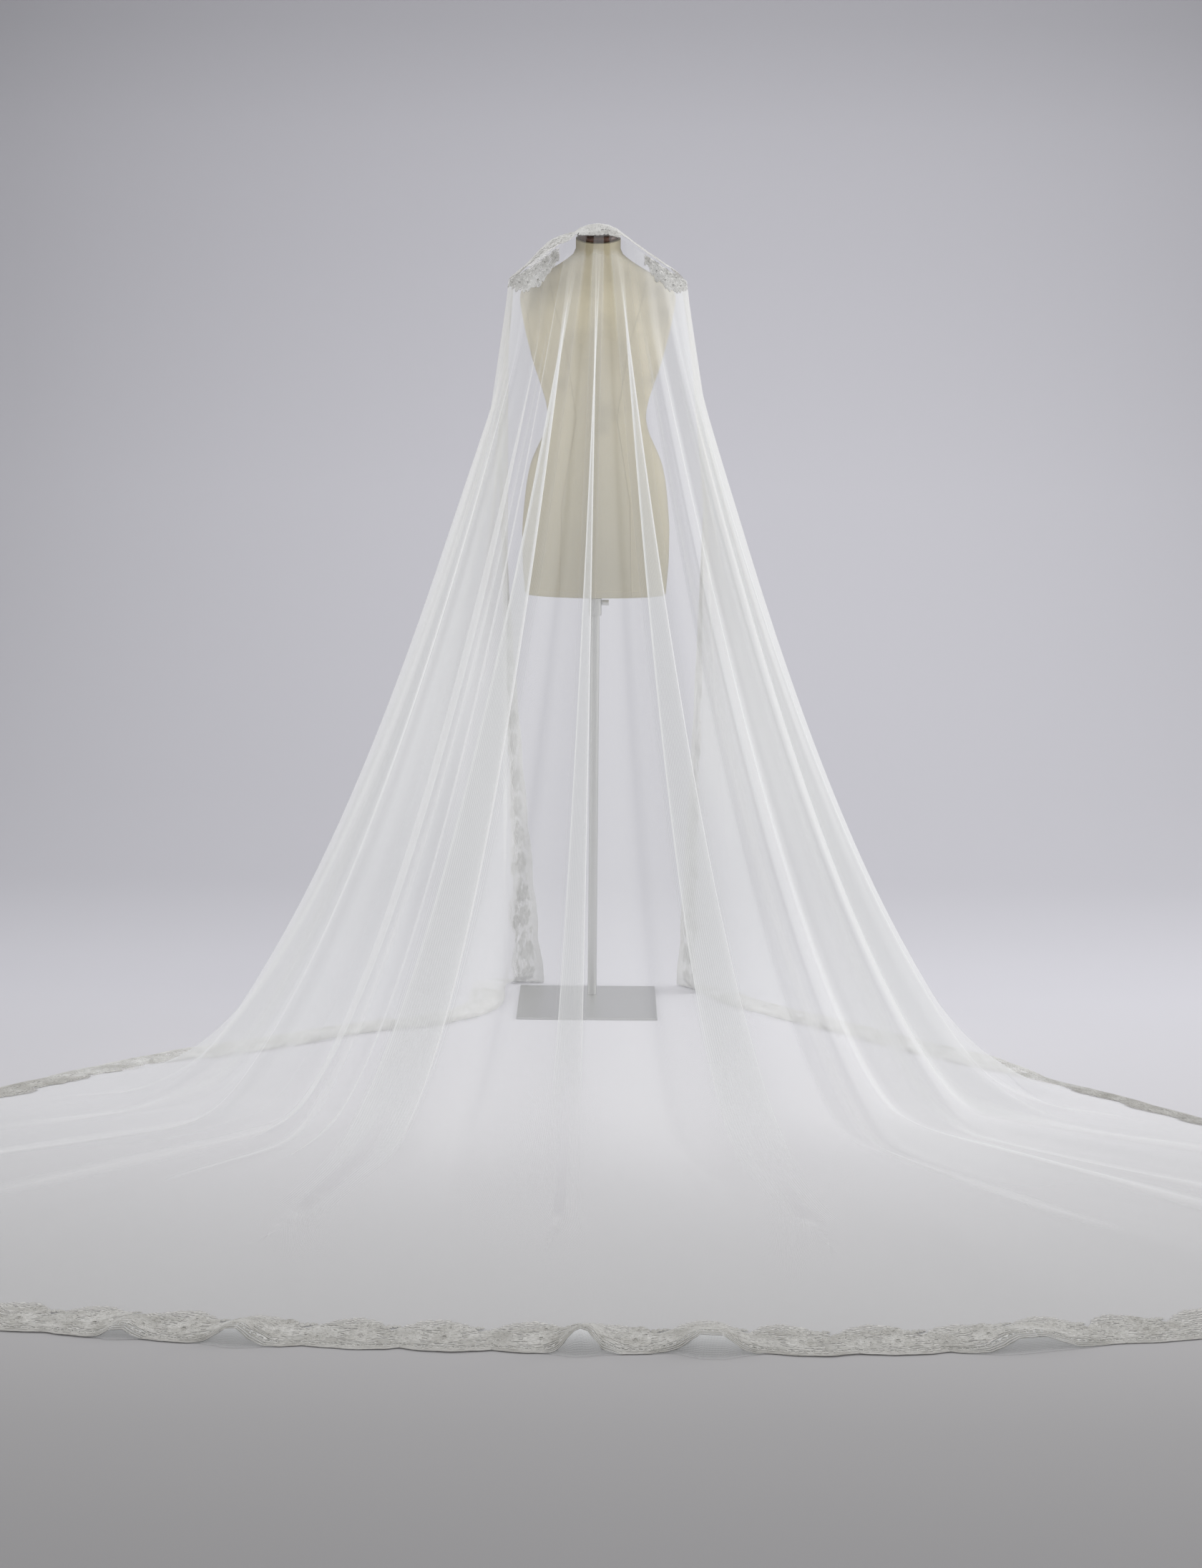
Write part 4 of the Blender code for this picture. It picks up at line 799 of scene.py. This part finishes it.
net, nodes, shader = new_finish("silk_net", NET_TONE, 0.85)
for socket, value in (("Sheen Weight", 0.35), ("Sheen Roughness", 0.4), ("Specular IOR Level", 0.25)):
    shader.inputs[socket].default_value = value
where = add_node(nodes, "ShaderNodeAttribute", attribute_name="cloth_place")
fullness = add_node(nodes, "ShaderNodeAttribute", attribute_name="fullness")
mesh_holes = add_node(nodes, "ShaderNodeTexVoronoi", voronoi_dimensions="2D", feature="DISTANCE_TO_EDGE")
mesh_holes.inputs["Scale"].default_value = 700
mesh_holes.inputs["Randomness"].default_value = 0.25
threads = add_node(nodes, "ShaderNodeMapRange", {"From Min": 0.04, "From Max": 0.16, "To Min": 1.4, "To Max": 0.86})
cover_sum = add_node(nodes, "ShaderNodeMath", {1: NET_COVER}, operation="ADD")
see = add_node(nodes, "ShaderNodeMath", operation="MULTIPLY", use_clamp=True)
join(where, "Vector", mesh_holes, "Vector")
join(mesh_holes, "Distance", threads, "Value")
join(fullness, "Fac", cover_sum, 0)
join(cover_sum, "Value", see, 0)
join(threads, "Result", see, 1)
join(see, "Value", shader, "Alpha")

def mark_cloth(piece, places, fullness):
    """Keeps on each point its place on the flat cloth, along and in from the hem, and how full the net is."""
    threads_full = piece.data.attributes.new("fullness", "FLOAT", "POINT")
    threads_full.data.foreach_set("value", fullness.astype(np.float32))
    cloth_place = piece.data.attributes.new("cloth_place", "FLOAT_VECTOR", "POINT")
    cloth_place.data.foreach_set("vector", places.ravel().astype(np.float32))


def flat_places(along, inward):
    return np.stack(np.broadcast_arrays(along, inward, 0.0), -1).reshape(-1, 3)


CROWN_STRETCH = 3
CROWN_APART = 4
veil_points = veil.reshape(-1, 3)
crown_points = crown.reshape(-1, 3)
veil_faces = grid_faces(row_count, column_count) + grid_faces(CROWN_ROWS, len(crown_columns), len(veil_points))
oval = make_mesh("net_oval", np.concatenate([veil_points, crown_points]), veil_faces)
crown_places = flat_places(lip_run[crown_columns] * CROWN_STRETCH, CROWN_APART + 0.14 * crown_share)
mark_cloth(oval, np.concatenate([flat_places(hem_run, from_hem), crown_places]),
           np.concatenate([full.ravel(), np.full(len(crown_points), CROWN_FULL)]))
oval.data.materials.append(net)
oval.visible_shadow = False
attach(oval, "root")
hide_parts("tulle_far_left", "tulle_fall_left", "tulle_fall_front", "tulle_fall_right", "tulle_far_right",
            "train_left", "train_front", "train_right")

# Lace: corded flowers, leaves and scrolls on a ground of fine net, worked as one long border.
# Each petal is a close-worked pad with a thick silver-white cord laid round it. The flowers are plain
# garden forms of no particular design. The first pieces of it are the five lengths along the hem.
CORD_WIDE = 0.0022
CORD_HIGH = 0.0015
PAD_HIGH = 0.0008
GROUND_LIFT = 0.0004
LACE_TONE = (0.72, 0.71, 0.68)
lace_thread, nodes, shader = new_finish("lace_thread", LACE_TONE, 0.55)
shader.inputs["Sheen Weight"].default_value = 0.25
shader.inputs["Specular IOR Level"].default_value = 0.35
where = add_node(nodes, "ShaderNodeTexCoord")
strands = add_node(nodes, "ShaderNodeTexNoise", {"Scale": 900, "Detail": 3})
wear = add_node(nodes, "ShaderNodeTexNoise", {"Scale": 22, "Detail": 4})
for noise in (strands, wear):
    join(where, "Object", noise, "Vector")
add_ramp(nodes, wear, shader, (0.35, (0.70, 0.69, 0.655)), (0.65, (0.92, 0.915, 0.89)))
add_bump(nodes, shader, strands, "Fac", 0.5, 0.0006)

lace_ground, nodes, shader = new_finish("lace_ground", LACE_TONE, 0.6)
shader.inputs["Sheen Weight"].default_value = 0.2
couching = add_node(nodes, "ShaderNodeTexWave", {"Scale": 48, "Distortion": 9, "Detail": 2, "Detail Scale": 1.3},
                    bands_direction="Y")
close = add_node(nodes, "ShaderNodeMapRange", {"From Min": 0.15, "From Max": 0.60, "To Min": 0.50, "To Max": 0.98})
join(add_node(nodes, "ShaderNodeAttribute", attribute_name="cloth_place"), "Vector", couching, "Vector")
join(couching, "Fac", close, "Value")
join(close, "Result", shader, "Alpha")
add_ramp(nodes, couching, shader, (0.15, (0.60, 0.59, 0.56)), (0.80, (0.90, 0.89, 0.86)))
add_bump(nodes, shader, couching, "Fac", 0.7, 0.0016)


def tinted(finish, name, tint, most=(1, 1, 1)):
    """A copy of a lace finish in other colours, none of them above most."""
    made = finish.copy()
    made.name = name
    for stop in made.node_tree.nodes["Color Ramp"].color_ramp.elements:
        stop.color = (*np.minimum(np.array(stop.color[:3]) * tint, most), 1)
    return made


# Painted shade and light: the hem lengths get copies of the lace painted darker, since the hem lies in less light
# near the front. The far lengths and the free edges get a ground painted paler, against the shade their cords take
# from the light above, and more open.
HEM_PAINTED_SHADE = (0.85, 0.84, 0.82)
hem_thread = tinted(lace_thread, "hem_thread", HEM_PAINTED_SHADE)
hem_ground = tinted(lace_ground, "hem_ground", HEM_PAINTED_SHADE)
pale_ground = tinted(lace_ground, "pale_ground", 1.22, (0.95, 0.94, 0.92))
pale_ground.node_tree.nodes["Map Range"].inputs["To Min"].default_value = 0.22
pale_ground.node_tree.nodes["Map Range"].inputs["To Max"].default_value = 0.68


class Border:
    """A stretch of cloth that lace lies on: rows run in from its cut edge, columns run along it."""

    def __init__(self, points, out, along, deep, pushed=None):
        self.points, self.out, self.along, self.deep, self.pushed = points, out, np.asarray(along), deep, pushed

    def at(self, along, inward, lift):
        """Places on the cloth for distances along the border and in from its edge, raised by lift."""
        if self.pushed is not None:
            inward = inward + np.interp(along, self.along, self.pushed) * (1 - np.clip(inward / self.deep, 0, 1))
        column = np.interp(along, self.along, np.arange(len(self.along)))
        row = np.clip(inward / self.deep, 0, 1) * (len(self.points) - 1)
        c0 = np.clip(np.floor(column).astype(int), 0, len(self.along) - 2)
        r0 = np.clip(np.floor(row).astype(int), 0, len(self.points) - 2)
        c, r = (column - c0)[..., None], (row - r0)[..., None]

        def mixed(grid):
            return ((1 - r) * ((1 - c) * grid[r0, c0] + c * grid[r0, c0 + 1])
                    + r * ((1 - c) * grid[r0 + 1, c0] + c * grid[r0 + 1, c0 + 1]))
        return mixed(self.points) + unit(mixed(self.out)) * np.asarray(lift)[..., None]


class LaceWork:
    """Gathers the cords, pads and ground of one length of lace into one mesh."""

    def __init__(self, border):
        self.border, self.points, self.marks, self.faces, self.grounds = border, [], [], [], 0
        self.count = 0

    def keep(self, points, faces, marks=None):
        self.points.append(points)
        self.marks.append(np.zeros((len(points), 3)) if marks is None else marks)
        self.faces += [tuple(int(corner) + self.count for corner in face) for face in faces]
        self.count += len(points)

    def cord(self, line, wide=CORD_WIDE, high=CORD_HIGH, closed=False, lift=0.0):
        line = np.asarray(line, float)
        way = ways_along(line, closed)
        side = np.stack([-way[:, 1], way[:, 0]], 1) * wide / 2
        rails = [(line + side, lift + 0.0002), (line, lift + high), (line - side, lift + 0.0002)]
        places = [self.border.at(rail[:, 0], rail[:, 1], np.full(len(rail), up)) for rail, up in rails]
        self.keep(np.concatenate(places), tube_faces(len(rails), len(line), closed))

    def pad(self, outline, high=PAD_HIGH, lift=0.0004):
        centre = outline.mean(0)
        ring = centre + (outline - centre) * 0.55
        n = len(outline)
        rim = self.border.at(outline[:, 0], outline[:, 1], np.full(n, lift))
        inner = self.border.at(ring[:, 0], ring[:, 1], np.full(n, lift + high * 0.85))
        top = self.border.at(centre[0], centre[1], np.array(lift + high))
        faces = [(i, (i + 1) % n, n + (i + 1) % n, n + i) for i in range(n)]
        faces += [(n + i, n + (i + 1) % n, 2 * n) for i in range(n)]
        self.keep(np.concatenate([rim, inner, np.reshape(top, (1, 3))]), faces)

    def ring(self, centre, half, **how):
        """A small closed ring of cord."""
        around = np.linspace(0, 2 * math.pi, 7)[:-1]
        shape = np.stack([centre[0] + half * np.cos(around), centre[1] + half * np.sin(around)], 1)
        self.cord(shape, closed=True, **how)

    def petal(self, base, turn, long, wide, sides=9, nested=True):
        around = np.linspace(0, 2 * math.pi, sides + 1)[:-1]
        out = long * (1 - np.cos(around)) / 2
        aside = wide / 2 * np.sin(around) * (0.55 + 0.55 * out / long)
        c, s = math.cos(turn), math.sin(turn)
        shape = np.stack([base[0] + out * c - aside * s, base[1] + out * s + aside * c], 1)
        self.pad(shape)
        self.cord(shape, closed=True)
        if nested:
            centre = shape.mean(0)
            self.cord((centre + (shape - centre) * 0.5)[::2], closed=True, lift=PAD_HIGH * 0.8)

    def flower(self, centre, size, petals=5, turn=0.0):
        for number in range(petals):
            angle = turn + 2 * math.pi * number / petals
            base = (centre[0] + 0.18 * size * math.cos(angle), centre[1] + 0.18 * size * math.sin(angle))
            self.petal(base, angle, 0.84 * size, 1.6 * size * math.sin(math.pi / petals))
        self.ring(centre, 0.17 * size, lift=CORD_HIGH * 0.7)

    def leaf(self, base, turn, long, wide):
        self.petal(base, turn, long, wide, sides=7, nested=False)
        vein = np.linspace(0.1, 0.85, 4)[:, None] * long * np.array([[math.cos(turn), math.sin(turn)]])
        self.cord(vein + np.array(base), wide=CORD_WIDE * 0.7, high=CORD_HIGH * 1.25)

    def spray(self, base, turn, long, leaves=5, bend=0.0, wide=0.007):
        steps = np.linspace(0, 1, 9)
        angle = turn + bend * steps
        line = np.cumsum(np.stack([np.cos(angle), np.sin(angle)], 1), 0) * long / 9 + np.array(base)
        self.cord(line, wide=CORD_WIDE * 0.9)
        for number in range(leaves):
            share = (number + 0.6) / leaves
            here = np.array([np.interp(share, steps, line[:, 0]), np.interp(share, steps, line[:, 1])])
            lean = turn + bend * share
            for side in (-1, 1):
                size = long * 0.30 * (1.15 - 0.5 * share)
                self.leaf(here, lean + side * 0.85, size, wide * (1.1 - 0.35 * share))
        self.leaf(line[-1], turn + bend, long * 0.26, wide * 0.9)

    def ground(self, start, stop, edge_of, step=0.005, rows=5):
        """The net ground, from the cut edge in to an uneven inner edge that follows the flowers."""
        along = np.linspace(start, stop, max(int((stop - start) / step), 2) + 1)
        inward = np.linspace(0, 1, rows)[:, None] * edge_of(along)[None, :]
        places = self.border.at(np.broadcast_to(along, inward.shape), inward, np.full(inward.shape, GROUND_LIFT))
        self.keep(places.reshape(-1, 3), grid_faces(rows, len(along)), flat_places(along, inward))
        self.grounds = len(self.faces)

    def finish(self, name, ground=lace_ground, thread=lace_thread):
        """The ground has to be laid first, so that its faces lead the list."""
        made = make_mesh(name, np.concatenate(self.points), self.faces)
        made.data.materials.append(ground)
        made.data.materials.append(thread)
        slots = np.ones(len(self.faces), np.int32)
        slots[: self.grounds] = 0
        made.data.polygons.foreach_set("material_index", slots)
        mark_cloth(made, np.concatenate(self.marks), np.zeros(self.count))
        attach(made, "root")
        return made


def inner_edge(along):
    """How deep the lace reaches: mounds of flowers with dips between them."""
    mound = np.abs(np.sin(math.pi * (along + 0.022) / SCALLOP)) ** 0.8
    uneven = 0.5 + 0.5 * np.sin(along * 17.3 + 1.1) * np.sin(along * 5.1)
    ragged = 0.006 * np.abs(np.sin(along * 210)) + 0.004 * np.abs(np.sin(along * 91))
    return 0.074 + (0.040 + 0.026 * uneven) * mound + ragged


# The flowers of one repeat: place along from its start or, where sways says so, from its swaying middle,
# place in from the edge, size, petals and turn.
Flower = namedtuple("Flower", "sways along inward size petals turn")
FLOWERS = [Flower(*row) for row in (
    (True, 0.0, 0.060, 0.027, 6, 0), (False, 0.006, 0.044, 0.019, 5, 1),
    (True, 0.004, 0.101, 0.018, 5, 2), (False, 0.012, 0.074, 0.014, 5, 3))]
# The sprays: place along from the middle and in from the edge, turn, length, leaves, bend and leaf width.
SPRAYS = ((-0.024, 0.060, math.pi + 0.25, 0.045, 4, -0.9, 0.007),
          (0.024, 0.064, -0.15, 0.045, 4, 0.9, 0.007),
          (-0.014, 0.086, math.pi * 0.72, 0.032, 3, 0.7, 0.006),
          (0.020, 0.090, math.pi * 0.22, 0.030, 3, -0.6, 0.006))


def lace_repeat(work, start, number, deep=1.0):
    """One repeat of the border, 0.14 m long: scalloped cords, a large flower, smaller ones and sprays of leaves."""
    turn = 0.7 * math.sin(number * 2.3)
    sway = 0.008 * math.sin(number * 1.7)
    along = np.linspace(start, start + SCALLOP, 27)
    for inward in (0.0012, 0.0052, 0.0105):
        work.cord(np.stack([along, inward + 0.0005 * np.sin(along * 900)], 1))
    for place in np.linspace(start + 0.006, start + SCALLOP - 0.006, 12):
        work.ring((place, 0.0165), 0.0042, wide=CORD_WIDE * 0.8)
    along = np.linspace(start, start + SCALLOP, 19)
    for wave in range(8):
        waving = np.sin(2 * math.pi * (along - start) / SCALLOP * (2 + wave % 2) + number * 1.3 + wave * 2)
        inward = 0.024 + 0.0105 * wave + 0.0045 * waving
        work.cord(np.stack([along, np.minimum(inward, inner_edge(along) - 0.006) * deep], 1), wide=CORD_WIDE * 1.05)
    middle = start + SCALLOP / 2 + sway
    for flower in FLOWERS:
        centre = ((middle if flower.sways else start) + flower.along, flower.inward * deep)
        work.flower(centre, flower.size, flower.petals, turn + flower.turn)
    for aside, inward, way, long, leaves, bend, wide in SPRAYS:
        work.spray((middle + aside, inward * deep), way, long, leaves, bend, wide)
    for side, far in ((-1, 0.052), (1, 0.050)):
        for aside, inward, lean, long, wide in ((0.030, 0.027, -1.1, 0.022, 0.009), (far, 0.030, 1.2, 0.020, 0.008),
                                                (far, 0.078, -0.9, 0.018, 0.008)):
            work.leaf((middle + side * aside, inward * deep), math.pi / 2 + side * lean, long, wide)


def lace_length(name, border, start, stop):
    work = LaceWork(border)
    work.ground(start, stop, inner_edge)
    for number in range(math.ceil(start / SCALLOP - 1e-6), math.ceil(stop / SCALLOP - 0.5)):
        lace_repeat(work, number * SCALLOP, number)
    if "far" in name:
        return work.finish(name, pale_ground)
    return work.finish(name, hem_ground, hem_thread)


pushed_in = 0.8 * ROLL * np.clip(bulge / 0.018, 0, 1)
hem_border = Border(veil[first_border:][::-1], normals[first_border:][::-1], hem_run, BORDER, pushed_in)
hem_lengths = (("lace_hem_far_left", "lace_far_left", "far_1", "wing_left_b"),
               ("lace_hem_left", "lace_train_left", "wing_left_b", "left_7"),
               ("lace_hem_front", "lace_train_front", "left_7", "right_7"),
               ("lace_hem_right", "lace_train_right", "right_7", "wing_right_b"),
               ("lace_hem_far_right", "lace_far_right", "wing_right_b", "far_7"))
for name, node, first, last in hem_lengths:
    piece = lace_length(name, hem_border, hem_run[line_place[first]], hem_run[line_place[last]])
    piece.visible_shadow = "far" not in name
    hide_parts(node)


# Lace down the two free edges, from the shoulder to the floor. It is the same border, drawn up close
# where the cloth is gathered at the shoulder.
left_columns = list(range(0, corner_left + 1))
right_columns = list(range(column_count - 1, corner_right - 1, -1))
for name, node, columns in (("lace_edge_drop_left", "lace_edge_left", left_columns),
                            ("lace_edge_drop_right", "lace_edge_right", right_columns)):
    edge_points, edge_out = (np.swapaxes(cloth[:, columns], 0, 1) for cloth in (veil, normals))
    edge_run = run_of(edge_points[0])
    work = LaceWork(Border(edge_points, edge_out, edge_run, BORDER))
    work.ground(0.0, edge_run[-1], inner_edge, step=0.008)
    for number in range(int(edge_run[-1] / SCALLOP)):
        lace_repeat(work, number * SCALLOP + 0.01, number)
    piece = work.finish(name, pale_ground)
    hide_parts(node)


# Lace over the cap and the shoulders: the border of the short end, with rows of small flowers set over
# the cap. The lace stops short of the lip, so that the cap's wooden rim shows through plain net there.
# Each row over the cap: place in from the back edge and number of flowers.
CROWN_DEEP = 0.142
LACE_IN_PUFF, LACE_ELSEWHERE = 1.2, 0.75
CAP_FLOWERS = ((0.034, 5), (0.058, 6), (0.082, 6), (0.106, 6), (0.129, 5))
crown_run = lip_run[crown_columns]
work = LaceWork(Border(crown, crown_normals, crown_run, CROWN_DEEP))
crown_lace = np.where(crown_front[:, 0] < PUFF_TO, LACE_IN_PUFF, LACE_ELSEWHERE)
work.ground(crown_run[0], crown_run[-1], lambda along: np.interp(along, crown_run, crown_lace) * inner_edge(along),
            step=0.006)
for number in range(int((crown_run[-1] - crown_run[0]) / SCALLOP)):
    begin = crown_run[0] + number * SCALLOP + 0.01
    lace_repeat(work, begin, number, deep=float(np.interp(begin + SCALLOP / 2, crown_run, crown_lace)))
cap_along = float(np.interp(BODY_X, crown_front[:, 0], crown_run))
for row, (inward, count) in enumerate(CAP_FLOWERS):
    for number in range(count):
        aside = (number - (count - 1) / 2) * 0.0185 + 0.002 * math.sin(row * 5 + number * 3)
        size = 0.0125 + 0.002 * math.sin(number * 2.1 + row * 1.3)
        centre = (cap_along + aside, inward + 0.003 * math.cos(number * 1.9 + row))
        work.flower(centre, size, 5 + (row + number) % 2, row + number * 0.9)
piece = work.finish("lace_over_cap")
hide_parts("lace_crown")


# Shoulder motifs: wide sprays of close flowers that lie on the net below each shoulder.
# Each flower: share of the way along, place in from the lip, size and petals.
SPRAY_DEEP = 0.09
SPRAY_LEAVES = 12
LEFT_BLOOMS = ((0.12, 0.020, 0.013, 5), (0.28, 0.030, 0.016, 6), (0.45, 0.040, 0.018, 6), (0.62, 0.046, 0.017, 5),
               (0.78, 0.038, 0.015, 5), (0.92, 0.022, 0.012, 5), (0.36, 0.012, 0.014, 5), (0.55, 0.016, 0.014, 5),
               (0.72, 0.014, 0.013, 5), (0.20, 0.008, 0.011, 5), (0.88, 0.008, 0.010, 5))
RIGHT_BLOOMS = ((0.10, 0.012, 0.011, 5), (0.26, 0.022, 0.013, 5), (0.42, 0.032, 0.015, 6), (0.60, 0.034, 0.015, 5),
                (0.78, 0.028, 0.014, 5), (0.92, 0.014, 0.011, 5), (0.50, 0.012, 0.013, 5), (0.70, 0.010, 0.012, 5),
                (0.30, 0.007, 0.010, 5))
for name, node, first, last, deepest, blooms in (
        ("lace_spray_left", "lace_shoulder_left", "wing_left_a", "left_7", 0.062, LEFT_BLOOMS),
        ("lace_spray_right", "lace_shoulder_right", "right_6", "wing_right_a", 0.048, RIGHT_BLOOMS)):
    rows = slice(0, int(np.searchsorted(run_of(veil[:, line_place[first]]), SPRAY_DEEP)))
    columns = slice(line_place[first], line_place[last] + 1)
    spray_points, spray_out = veil[rows, columns], normals[rows, columns]
    spray_run = run_of(spray_points[len(spray_points) // 2])
    spray_deep = run_of(spray_points[:, spray_points.shape[1] // 2])[-1]
    work = LaceWork(Border(spray_points, spray_out, spray_run, spray_deep))
    long = spray_run[-1]
    work.ground(0.02 * long, 0.98 * long, lambda along: deepest * (0.35 + 0.6 * np.sin(math.pi * along / long)),
                step=0.003, rows=7)
    for number, (share, inward, size, petals) in enumerate(blooms):
        work.flower((share * long, inward), size, petals, number * 0.8)
    for number in range(SPRAY_LEAVES):
        share = (number + 0.5) / SPRAY_LEAVES
        inward = deepest * (0.30 + 0.62 * math.sin(math.pi * share))
        work.leaf((share * long, inward * 0.9), math.pi / 2 + 0.8 * math.cos(number * 2.1), 0.014, 0.008)
    piece = work.finish(name)
    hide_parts(node)
